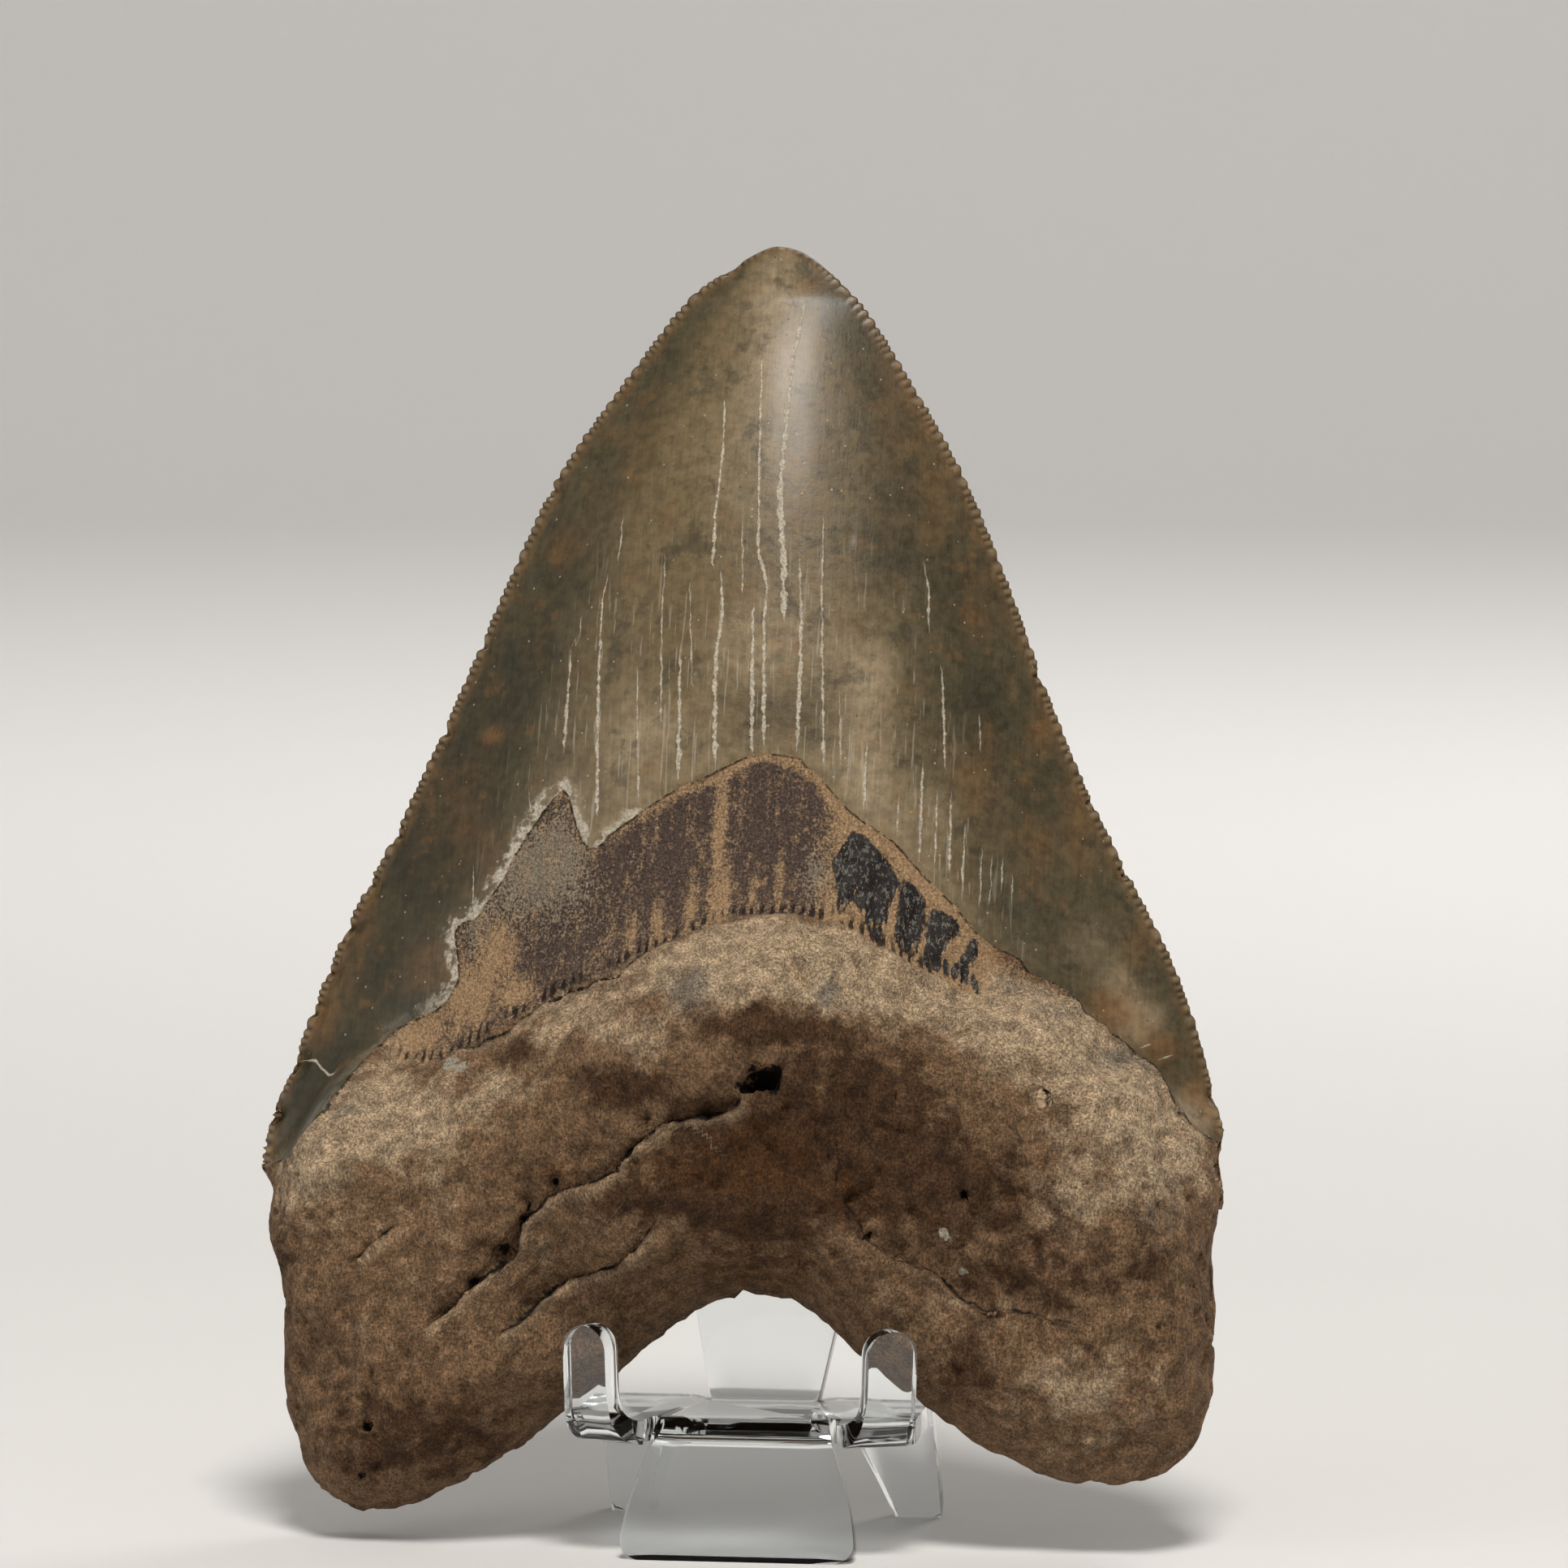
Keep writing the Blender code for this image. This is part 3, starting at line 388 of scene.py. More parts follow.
# Stains of the root, in the same form.
ROOT_DARK = (
    (2.5, 35.0, 8.0, 5.5, 1.00),
    (2.0, 46.8, 7.5, 2.8, 0.75),
    (12.0, 42.5, 8.0, 5.0, 0.65),
    (19.5, 33.0, 9.0, 6.5, 0.75),
    (12.5, 35.0, 5.0, 5.0, 0.60),
    (-13.0, 41.0, 4.0, 3.5, 0.65),
    (-7.0, 40.0, 5.0, 3.0, 0.45),
    (-2.0, 30.0, 9.0, 4.0, 0.60),
    (-12.0, 30.5, 5.0, 3.0, 0.50),
    (-20.0, 33.0, 4.0, 2.5, 0.45),
    (-22.5, 45.0, 3.5, 2.5, 0.60),
    (-24.0, 24.5, 7.0, 4.0, 0.40),
    (-37.5, 12.0, 7.0, 8.0, 0.45),
    (-26.0, 9.0, 6.0, 4.0, 0.45),
    (24.0, 18.0, 6.0, 5.0, 0.25),
    (30.0, 28.0, 8.0, 5.0, 0.32),
    (40.0, 25.0, 4.0, 8.0, 0.25),
    (4.0, 26.0, 7.0, 3.5, 0.25),
    (36.0, 24.5, 6.0, 2.6, 0.22),
    (27.0, 23.5, 6.0, 3.0, 0.36),
    (46.0, 25.0, 3.0, 10.0, 0.50),
    (21.0, 14.5, 4.0, 4.0, 0.58),
    (-47.0, 22.0, 3.0, 12.0, 0.50),
    (-33.0, 5.5, 10.0, 3.0, 0.45),
)
ROOT_PALE = (
    (-38.0, 40.0, 6.0, 4.5, 0.90),
    (-32.0, 37.0, 7.0, 5.0, 0.60),
    (-44.0, 33.0, 5.0, 5.5, 0.75),
    (-24.0, 41.0, 5.0, 3.5, 0.40),
    (-34.5, 48.0, 4.0, 2.6, 0.85),
    (-4.0, 53.0, 10.0, 4.0, 0.95),
    (8.0, 52.5, 8.0, 4.0, 0.90),
    (-18.0, 48.5, 6.0, 3.2, 0.75),
    (-10.0, 44.5, 4.0, 3.0, 0.55),
    (17.0, 50.0, 5.0, 3.4, 0.45),
    (28.0, 49.5, 6.0, 4.0, 0.80),
    (35.0, 43.5, 6.0, 6.0, 0.90),
    (40.5, 36.0, 4.0, 6.0, 0.70),
    (24.0, 43.5, 4.0, 3.0, 0.45),
    (33.0, 33.0, 5.0, 5.0, 0.40),
    (-16.5, 25.0, 6.0, 2.2, 0.35),
    (20.0, 21.5, 7.0, 2.0, 0.35),
    (33.0, 13.0, 8.0, 6.0, 0.55),
    (4.5, 55.5, 8.0, 3.0, 0.80),
    (23.0, 51.5, 5.0, 3.5, 0.90),
    (-31.0, 27.0, 6.0, 5.0, 0.30),
    (-36.0, 17.0, 4.0, 3.0, 0.35),
    (31.0, 30.0, 4.0, 3.0, 0.40),
)
ROOT_BLUE = (
    (-5.1, 50.4, 2.4, 3.0, 0.90),
    (8.1, 50.6, 1.5, 2.2, 0.80),
    (24.8, 53.0, 2.2, 1.4, 0.60),
    (29.0, 50.5, 2.6, 1.6, 0.55),
    (35.8, 46.6, 3.0, 1.6, 0.90),
    (-40.6, 39.6, 2.6, 1.3, 0.65),
    (-23.5, 51.6, 3.0, 1.6, 0.70),
    (-12.0, 52.5, 3.0, 2.4, 0.45),
    (-30.0, 52.5, 1.6, 1.4, 0.35),
    (31.0, 37.0, 2.0, 3.0, 0.35),
    (40.0, 30.0, 2.0, 4.0, 0.35),
)
ROOT_RUST = (
    (3.0, 34.5, 7.0, 4.5, 0.85),
    (-7.0, 33.0, 6.0, 3.0, 0.45),
    (12.0, 30.0, 5.0, 3.0, 0.50),
    (1.0, 24.0, 12.0, 2.5, 0.55),
    (-31.0, 11.0, 6.0, 4.0, 0.45),
    (-20.0, 33.5, 7.0, 2.5, 0.35),
)
# Tan streaks up the dark band, in the same form.
BAND_TAN = (
    (-4.3, 67.0, 0.75, 8.0, 1.2),
    (-3.3, 60.5, 0.60, 3.0, 0.9),
    (1.9, 62.0, 0.35, 3.5, 0.8),
    (-0.5, 61.5, 0.35, 2.6, 0.8),
    (-6.6, 60.2, 0.50, 3.0, 0.9),
    (-9.9, 58.5, 0.60, 2.6, 0.9),
    (-12.6, 57.5, 0.70, 2.4, 0.7),
    (-26.5, 56.0, 2.4, 3.0, 1.0),
    (-29.5, 51.5, 2.4, 3.0, 1.2),
    (-35.0, 48.0, 3.0, 2.4, 1.2),
    (-24.5, 51.7, 1.8, 1.4, 0.9),
)
BAND_GREY = (
    (-24.0, 63.5, 4.5, 5.0, 0.9),
    (-20.5, 66.0, 3.0, 4.0, 0.7),
    (-17.5, 59.0, 3.0, 5.0, 0.25),
    (5.6, 63.0, 1.6, 3.0, 0.8),
    (-29.0, 58.0, 2.0, 3.0, 0.6),
)
# Grains of white matrix still stuck in the root: (s, h, radius).
WHITE_CRUMBS = (
    (19.6, 27.9, 0.62),
    (21.2, 24.6, 0.42),
    (-30.3, 44.2, 0.95),
    (-29.0, 43.8, 0.70),
    (-28.2, 43.0, 0.35),
)

# Fine relief, in millimetres and in shares of the root's grain: lumps, knobs, pores and fibres of the root,
# calmer at its outline, then the band, the enamel's wear and the raised black skin.
ENAMEL_FADE = 0.6
BAND_FADE = 1.5
CALM_EDGE = 0.35
CALM_RUN = 5.0
LUMP_SIZE = 7.0
LUMP_SHARE = 1.6
KNOB_SIZE = 2.8
KNOB_SHARE = 1.1
PORE_SIZE = 1.5
PORE_START = 0.35
PORE_DEPTH = 1.8
FIBRE_SIZE = 0.8
FIBRE_SHARE = 0.35
FIBRE_STRETCH = np.array([1.0, 0.28, 1.0])
BAND_GRAIN_SIZE = 1.2
BAND_SHARE_OF_GRAIN = 0.35
WEAR_SIZE = 3.0
WEAR_STRETCH = np.array([1.0, 0.25, 1.0])
ENAMEL_WEAR = 0.035
SKIN_RISE = 0.10
SKIN_EDGE = 0.3

# Thickness of the tooth.
CROWN_FULL = 18.5
CROWN_GROWTH = 36.0
TIP_HEIGHT = 131.0
TIP_LEAST = 1.1
BLADE_POWER = 1.1
CROWN_RIM = 2.0
ROOT_RIM = 6.5
ROOT_FLANK = 15.6
ROOT_BOSS = 8.6
BOSS_CENTRE = -1.0
BOSS_SPREAD = 13.0
ROOT_ROUND = 8.5
CROWN_FOOT_ROUND = 5.0
BACK_ROUND = 6.0
RIM_FADE = 14.0
JOIN_POWER = 6.0
RELIEF_INSET = 3.0
# How the root thins: toward the crown, at its middle and flanks, then toward its lower edge and in its lobes.
FLANK_START = 8.0
FLANK_RUN = 26.0
UPPER_START_MIDDLE = -15.0
UPPER_START_FLANK = -7.0
UPPER_RUN_MIDDLE = 27.0
UPPER_RUN_FLANK = 10.0
LOWER_LOSS = 0.42
LOWER_START = 17.0
LOWER_RUN = 26.0
LOWER_KEPT = 0.75
LOWER_KEPT_START = 20.0
LOWER_KEPT_RUN = 14.0
LOBE_LOSS = 0.18
LOBE_START = 26.0
LOBE_RUN = 20.0
LOBE_TOP = 26.0
LOBE_FALL = 22.0
ROOT_INSET = 0.9
ROOT_LEAST = 0.05
ROOT_SHOULDER = 1.2
# The back face: how the blade rounds off toward its edge, and the root's step and hollow.
BLADE_BACK_RUN = 20.0
BLADE_BACK_POWER = 2.4
BACK_STEP_RUN = 0.9
BACK_HOLLOW = 0.9
BACK_HOLLOW_HALF = 11.0
BACK_HOLLOW_TOP = 40.0
BACK_HOLLOW_RUN = 20.0
BACK_INSET = 5.0
ENAMEL_STEP = 0.40
ENAMEL_STEP_RUN = 0.30
BACK_STEP = 0.5
BACK_EDGE_MIDDLE = 31.0
BACK_EDGE_CURVE = 0.004

# Faceting. The rows next to the cutting edge keep one width in millimetres, and are cut finer along it. They
# take this share of the run at most.
BAND_SHARE = 0.25
COLUMNS = 372
FRONT_ROWS = 186
BACK_ROWS = 34
FRONT_BAND_ROWS = 7
BACK_BAND_ROWS = 3
BAND_WIDTH = 1.9
BAND_CUTS = 3
OUTLINE_STEPS = 40

# Rows lie closer at the root's edge, and over the root by their own weight for the two faces.
EDGE_ROWS_CLOSER = 5.0
EDGE_ROWS_RUN = 0.03
ROOT_ROWS_SHARE = 0.5
FRONT_ROOT_ROWS = 1.3
BACK_ROOT_ROWS = 0.6

# Stand, in millimetres: one sheet, bent.
LEDGE_TOP = 13.1
TONGUE_START = 7.0
TONGUE_BEND = math.radians(71.0)
TONGUE_TOP_HALF = 8.2
TONGUE_FOOT_HALF = 11.5
FOOT_CORNER = 1.8
HOOK_CENTRE = (14.9, -10.9)
HOOK_TURN = math.radians(25.0)
HOOK_HALF = 2.45
HOOK_OFFSET = 0.6
HOOK_FLARE = 2.5
HOOK_RISE = 7.1
HOOK_SPLAY = 0.4
BACKREST_START = 5.0
BACKREST_BEND = math.radians(75.0)
BACKREST_LENGTH = 34.0
BACKREST_HALF = 5.0
BACKREST_FLARE = 0.2
BACKREST_CORNER = 4.0
LEG_START = 6.5
LEG_BEND = math.radians(56.0)
LEG_OUTER = 16.6
LEG_INNER_TOP = 6.8
LEG_INNER_FOOT = 12.2
BEND_STEPS = 16
RUN_STEPS = 22
STAND_MIDDLE = (2.909, -9.874)
LEDGE_CORNER_FRONT = ((8.2, -7.0), (8.7, -7.3), (9.1, -8.0), (9.5, -9.3))
LEDGE_CORNER_SIDE = ((16.5, -7.0), (16.6, -6.0))
LEDGE_CORNER_BACK = ((6.4, 6.2), (5.6, 5.2))

# The stand's faceting: how the rows crowd toward an arm's end, columns across each arm, and its edges.
RUN_POWER = 1.8
TONGUE_COLUMNS = 8
HOOK_COLUMNS = 6
BACKREST_COLUMNS = 6
LEG_COLUMNS = 5
EDGE_SEGMENTS = 3
EDGE_ANGLE = math.radians(50.0)
STAND_SMOOTH = math.radians(35.0)
# Vertices closer than this are one, in metres.
STAND_MERGE = 1e-5
TOOTH_MERGE = 2e-6
# The front foot and the rear legs run this far past the table before they are cut, in millimetres.
FOOT_EXTRA = 1.0
FOOT_CORNER_SHIFT = 0.25
TONGUE_POWER = 1.25
HOOK_BEND = math.radians(90.0)
HOOK_FLARE_RUN = 7.0
LEG_EXTRA = 1.2
LEG_POWER = 0.8
LEG_CORNER = 1.0

# Large odd numbers that stir a place's whole numbers into a random one of 32 bits.
STIR = (374761393, 668265263, 1442695041, 974634777, 1274126177)
WORD = 0xFFFFFFFF
# Farther than any distance that counts, in millimetres.
FAR = 1e9

# Camera, in millimetres and degrees, as the photograph was taken.
CAMERA_TARGET = (4.309, 0.103, 73.511)
CAMERA_DISTANCE = 900.0
CAMERA_AZIMUTH = math.radians(8.0)
CAMERA_HEIGHT_ANGLE = math.radians(5.0)
SENSOR = 36.0
FOCAL_LENGTH = 209.6


def colour(name, description, linear):
    return FloatVectorProperty(name=name, description=description, subtype="COLOR", default=linear)


class ToothSettings(bpy.types.PropertyGroup):
    """Sizes and colours of the fossil tooth."""

    serration_pitch: FloatProperty(
        name="Serration Pitch", description="From one serration to the next", default=0.00095, unit="LENGTH"
    )
    serration_depth: FloatProperty(
        name="Serration Depth", description="How far a serration stands out", default=0.00042, unit="LENGTH"
    )
    root_grain: FloatProperty(
        name="Root Grain", description="Depth of the root's rough grain", default=0.0005, unit="LENGTH"
    )
    enamel_brown: colour("Enamel Brown", "Middle of the crown", paint(103, 89, 63))
    enamel_olive: colour("Enamel Olive", "Flanks of the crown", paint(75, 67, 47))
    enamel_dark: colour("Enamel Dark", "Dark clouds in the enamel", paint(49, 47, 36))
    enamel_pale: colour("Enamel Pale", "Light clouds in the enamel", paint(146, 129, 102))
    enamel_amber: colour("Enamel Amber", "Amber of the cutting edges", paint(116, 84, 50))
    crack_white: colour("Crack White", "Filling of the cracks", paint(180, 171, 153))
    band_dark: colour("Band Dark", "The band's dark ground", paint(84, 70, 62))
    band_grey: colour("Band Grey", "The band's worn grey part", paint(134, 122, 104))
    band_tan: colour("Band Tan", "The band's tan streaks", paint(168, 138, 104))
    skin_black: colour("Skin Black", "Glossy remains of the band's skin", paint(30, 25, 23))
    root_brown: colour("Root Brown", "The root's middle brown", paint(132, 104, 77))
    root_dark: colour("Root Dark", "The root's dark stains", paint(84, 60, 40))
    root_rust: colour("Root Rust", "Rusty brown stains on the root", paint(88, 56, 27))
    root_pale: colour("Root Pale", "The root's tan belt and shoulders", paint(190, 165, 134))
    root_blue: colour("Root Blue", "Blue-grey stains", paint(112, 109, 102))


class StandSettings(bpy.types.PropertyGroup):
    """Sizes and finish of the clear stand."""

    sheet: FloatProperty(name="Sheet", description="Thickness of the sheet", default=0.0023, unit="LENGTH")
    bend_radius: FloatProperty(
        name="Bend Radius", description="Radius of each bend at mid-thickness", default=0.0023, unit="LENGTH"
    )
    polished_edge: FloatProperty(
        name="Polished Edge", description="Rounding of the polished edges", default=0.0004, unit="LENGTH"
    )
    tint: colour("Tint", "Colour of the clear plastic", (0.95, 0.975, 0.98))


class StageSettings(bpy.types.PropertyGroup):
    """Floor, lights and camera."""

    floor_colour: colour("Floor Colour", "The pale floor", (0.74, 0.73, 0.715))
    key_power: FloatProperty(
        name="Key Power", description="Power of the main soft light", default=13.5, unit="POWER"
    )
    fill_power: FloatProperty(
        name="Fill Power", description="Power of the filling light", default=2.2, unit="POWER"
    )
    wall_power: FloatProperty(
        name="Wall Power", description="Power of the light on the background", default=8.0, unit="POWER"
    )
    sky: FloatProperty(name="Sky", description="Strength of the even light all round", default=0.33)


def need(test, message):
    """A cancelled operator doesn't stop the script, so what is missing raises an error."""
    if not test:
        raise RuntimeError(message)


# Lines in the plane of the tooth


def smooth_line(points, steps):
    """A smooth line through the points, as an array of closely spaced points."""
    p = np.array(points, float)
    p = np.vstack([2 * p[0] - p[1], p, 2 * p[-1] - p[-2]])
    t = np.linspace(0.0, 1.0, steps, endpoint=False)[:, None]
    runs = []
    for a, b, c, d in zip(p, p[1:], p[2:], p[3:]):
        bend = (2 * a - 5 * b + 4 * c - d) * t**2 + (3 * b - a - 3 * c + d) * t**3
        runs.append(0.5 * (2 * b + (c - a) * t + bend))
    return np.vstack(runs + [p[-2:-1]])


def lengths_along(line):
    return np.concatenate([[0.0], np.cumsum(np.linalg.norm(np.diff(line, axis=0), axis=1))])


def at_fraction(line, fraction):
    """Points of the line at these fractions of its length."""
    along = lengths_along(line)
    along /= along[-1]
    return np.column_stack([np.interp(fraction, along, line[:, k]) for k in (0, 1)])


def nearest(points, line):
    """Each point's distance to the line, its side (positive on the left) and how far along the line it is."""
    along = lengths_along(line)
    best = np.full(len(points), FAR)
    side = np.ones(len(points))
    place = np.zeros(len(points))
    for a, b, begun in zip(line, line[1:], along):
        run = b - a
        span = max(float(run @ run), 1e-12)
        rel = points - a
        t = np.clip((rel @ run) / span, 0.0, 1.0)
        dist = np.hypot(rel[:, 0] - t * run[0], rel[:, 1] - t * run[1])
        closer = dist < best
        best[closer] = dist[closer]
        side[closer] = np.sign(run[0] * rel[closer, 1] - run[1] * rel[closer, 0])
        place[closer] = begun + t[closer] * math.sqrt(span)
    return best, side, place


def inside(points, outline):
    """Whether each point is inside the closed outline."""
    s, h = points.T
    hits = np.zeros(len(points), bool)
    for (x0, y0), (x1, y1) in zip(outline, np.roll(outline, -1, axis=0)):
        crosses = (y0 > h) != (y1 > h)
        reach = x0 + (h - y0) * (x1 - x0) / ((y1 - y0) if y1 != y0 else 1e-12)
        hits ^= crosses & (s < reach)
    return hits


def signed_gap(points, line, over):
    """Distance to the line, positive inside the outline that the line makes with the points over it."""
    dist, _, _ = nearest(points, line)
    return np.where(inside(points, np.vstack([line, over]) if len(over) else line), dist, -dist)


def round_rise(x, radius):
    """0 at an edge, rising like a quarter circle to 1 at this distance inside it."""
    t = 1.0 - np.clip(x / radius, 0.0, 1.0)
    return np.sqrt(1.0 - t * t)


def smoothstep(x):
    t = np.clip(x, 0.0, 1.0)
    return t * t * (3.0 - 2.0 * t)


def lattice(i, j, k, seed):
    """A fixed random value from -1 to 1 at each whole-numbered place."""
    n = (i * STIR[0] + j * STIR[1] + k * STIR[2] + seed * STIR[3]) & WORD
    n = ((n ^ (n >> 13)) * STIR[4]) & WORD
    n = n ^ (n >> 16)
    return n / (0.5 * WORD) - 1.0


def rough(points, size, seed, octaves=1):
    """Smooth random relief from about -1 to 1, with bumps of this size and finer ones on them."""
    total = np.zeros(len(points))
    weight = 1.0
    for octave in range(octaves):
        p = points / size * 2.0**octave
        cell = np.floor(p).astype(np.int64)
        t = smoothstep(p - cell)
        value = np.zeros(len(points))
        for corner in range(8):
            step = np.array([corner & 1, corner >> 1 & 1, corner >> 2 & 1])
            share = np.prod(np.where(step, t, 1.0 - t), axis=1)
            i, j, k = (cell + step).T
            value += share * lattice(i, j, k, seed + octave)
        total += weight * value
        weight *= 0.5
    return total


CROWN_LINE = smooth_line(CROWN_OUTLINE, OUTLINE_STEPS)
ROOT_LINE = smooth_line(ROOT_OUTLINE, OUTLINE_STEPS)
ROOT_TOP_LINE = smooth_line(ROOT_TOP, 8)
ENAMEL_LINE = smooth_line(ENAMEL_EDGE, 3)
BAND_LINE = smooth_line(BAND_EDGE, 4)
OVER_THE_TOOTH = np.array([(80.0, 160.0), (-80.0, 160.0)])


# The tooth's two faces


def crown_sides(h):
    """The crown's left and right margins at this height."""
    tip = int(np.argmax(CROWN_LINE[:, 1]))
    left = CROWN_LINE[: tip + 1]
    right = CROWN_LINE[tip:][::-1]
    return np.interp(h, left[:, 1], left[:, 0]), np.interp(h, right[:, 1], right[:, 0])


def across_crown(points):
    """0 on the crown's middle line, 1 on its margins."""
    left, right = crown_sides(points[:, 1])
    return np.clip(np.abs(2.0 * points[:, 0] - left - right) / (right - left + 1e-6), 0.0, 1.0)


def above_root(points):
    return points[:, 1] - np.interp(points[:, 0], ROOT_TOP_LINE[:, 0], ROOT_TOP_LINE[:, 1])


def rim_level(points):
    """How far out of the back face the tooth's edge lies: low at the blade, in mid-thickness at the root."""
    return CROWN_RIM + (ROOT_RIM - CROWN_RIM) * smoothstep(-above_root(points) / RIM_FADE)


def front_face(points, to_crown, to_root):
    """The tongue side: a domed crown that runs into the swollen root with its boss."""
    s, h = points.T
    above = above_root(points)
    full = CROWN_FULL * (1.0 - np.exp(-(TIP_HEIGHT - h) / CROWN_GROWTH))
    dome = (1.0 - across_crown(points) ** 2) ** BLADE_POWER
    crown = np.maximum(full - CROWN_RIM, TIP_LEAST) * dome * round_rise(to_root, ROOT_ROUND)

    flank = smoothstep((np.abs(s) - FLANK_START) / FLANK_RUN)
    boss = ROOT_FLANK + ROOT_BOSS * np.exp(-((s - BOSS_CENTRE) ** 2) / (2.0 * BOSS_SPREAD**2))
    start = UPPER_START_MIDDLE + (UPPER_START_FLANK - UPPER_START_MIDDLE) * flank
    run = UPPER_RUN_MIDDLE + (UPPER_RUN_FLANK - UPPER_RUN_MIDDLE) * flank
    upper = np.exp(-((np.maximum(above - start, 0.0) / run) ** 2))
    kept = 1.0 - LOWER_KEPT * smoothstep((np.abs(s) - LOWER_KEPT_START) / LOWER_KEPT_RUN)
    lower = 1.0 - LOWER_LOSS * smoothstep((-above - LOWER_START) / LOWER_RUN) * kept
    outer = smoothstep((np.abs(s) - LOBE_START) / LOBE_RUN)
    lobe = 1.0 - LOBE_LOSS * outer * smoothstep((LOBE_TOP - h) / LOBE_FALL)
    root = np.maximum(boss * upper * lower * lobe - ROOT_RIM * ROOT_INSET, ROOT_LEAST) + ROOT_SHOULDER * upper
    root = root * round_rise(to_root, ROOT_ROUND) * round_rise(to_crown, CROWN_FOOT_ROUND)
    body = (crown**JOIN_POWER + root**JOIN_POWER) ** (1.0 / JOIN_POWER)

    inner = smoothstep(np.minimum(to_crown, to_root) / RELIEF_INSET)
    return rim_level(points) + body + inner * root_relief(points, above) + enamel_step(points, to_crown)


def root_relief(points, above):
    """Fissures with their raised lower lips, pits, lumps and hollows."""
    s, h = points.T
    gap, half, depth = fissure_field(points)
    reach = np.maximum(half + FISSURE_WALL, FISSURE_LEAST)
    rise = -depth * np.minimum(half / FISSURE_FULL, 1.0) * np.exp(-((gap / reach) ** 2))
    turn = 2.0 * smoothstep(0.5 + gap / LEDGE_TURN) - 1.0
    rise += LEDGE_LIP * depth * np.exp(-np.abs(gap) / LEDGE_WIDTH) * turn
    for cs, ch, half_s, half_h, deep in PITS:
        off = np.hypot((s - cs) / half_s, (h - ch) / half_h)
        rise -= deep * smoothstep((PIT_REACH - off) / PIT_WALL)
    rooted = smoothstep(-above / LUMP_FADE)
    for cs, ch, half_s, half_h, height in LUMPS:
        rise += rooted * height * np.exp(-(((s - cs) / half_s) ** 2) - ((h - ch) / half_h) ** 2)
    return rise


def fissure_field(points):
    """Signed distance to the nearest fissure, positive on its lip side, its half width and its depth."""
    gap = np.full(len(points), FISSURE_NONE)
    width = np.full(len(points), FISSURE_LEAST)
    deep = np.zeros(len(points))
    closest = np.full(len(points), FAR)
    flat = np.column_stack([points, np.zeros(len(points))])
    wander = rough(flat, FISSURE_WANDER_SIZE, 71) + 0.5 * rough(flat, FISSURE_WANDER_FINE, 73)
    for line, depth, half in FISSURES:
        path = smooth_line(line, 3)
        dist, side, along = nearest(points, path)
        total = lengths_along(path)[-1]
        ends = np.minimum(along, total - along) / min(FISSURE_END, FISSURE_END_SHARE * total)
        run = np.column_stack([along, along * 0.0, along * 0.0 + depth])
        broken = FISSURE_DEPTH_MEAN + FISSURE_DEPTH_SWING * rough(run, FISSURE_DEPTH_SIZE, 79)
        deep_here = depth * smoothstep(ends) * np.clip(broken, *FISSURE_DEPTH_RANGE)
        closer = dist < closest
        closest[closer] = dist[closer]
        gap[closer] = (side * dist)[closer]
        width[closer] = half
        deep[closer] = (deep_here * np.exp(-((dist / FISSURE_REACH) ** 2)))[closer]
    return gap + FISSURE_WANDER * wander, width, deep


def enamel_step(points, to_crown):
    """The enamel ends in a thin step over the band and the root."""
    gap = signed_gap(points, ENAMEL_LINE, OVER_THE_TOOTH)
    step = smoothstep(0.5 + 0.5 * gap / ENAMEL_STEP_RUN) - 1.0
    return ENAMEL_STEP * step * smoothstep(to_crown / RELIEF_INSET)


def back_face(points, to_crown, to_root):
    """The lip side: nearly flat, with the root set back below its own enamel edge and its lobes rounded."""
    s, h = points.T
    rim = rim_level(points)
    rooted = smoothstep((rim - CROWN_RIM) / (ROOT_RIM - CROWN_RIM))
    gap = np.minimum(to_crown, to_root)
    blade = 1.0 - (1.0 - np.clip(gap / BLADE_BACK_RUN, 0.0, 1.0)) ** BLADE_BACK_POWER
    shape = blade + (round_rise(gap, BACK_ROUND) - blade) * rooted
    below = BACK_EDGE_MIDDLE + BACK_EDGE_CURVE * s * s - h
    hollow = BACK_HOLLOW * np.exp(-((s / BACK_HOLLOW_HALF) ** 2))
    hollow = hollow * smoothstep((BACK_HOLLOW_TOP - h) / BACK_HOLLOW_RUN)
    set_back = BACK_STEP * smoothstep(below / BACK_STEP_RUN)
    return rim * (1.0 - shape) + smoothstep(gap / BACK_INSET) * (set_back + hollow)


def to_room(points, d):
    """Tooth coordinates in millimetres to metres in the room."""
    s, h = points.T
    x = TOOTH_FOOT[0] + s
    y = TOOTH_FOOT[1] + h * math.sin(LEAN) - d * math.cos(LEAN)
    z = TOOTH_FOOT[2] + h * math.cos(LEAN) + d * math.sin(LEAN)
    return np.column_stack([x, y, z]) * MM


def deselect_all():
    if bpy.context.object and bpy.context.object.mode != "OBJECT":
        bpy.ops.object.mode_set(mode="OBJECT")
    bpy.ops.object.select_all(action="DESELECT")


def select_only(objects):
    deselect_all()
    for obj in objects:
        obj.select_set(True)
    bpy.context.view_layer.objects.active = objects[0]


def vertex_places(mesh):
    flat = np.empty(len(mesh.vertices) * 3)
    mesh.vertices.foreach_get("co", flat)
    return flat.reshape(-1, 3)


def place_vertices(mesh, places):
    mesh.vertices.foreach_set("co", np.ascontiguousarray(places, dtype=np.float32).ravel())
    mesh.update()


def store(mesh, name, values):
    """Keeps a value or a vector for each vertex, for the materials to read."""
    values = np.asarray(values, dtype=np.float32)
    kind, field = ("FLOAT", "value") if values.ndim == 1 else ("FLOAT_VECTOR", "vector")
    kept = mesh.attributes.get(name) or mesh.attributes.new(name, kind, "POINT")
    kept.data.foreach_set(field, values.ravel())


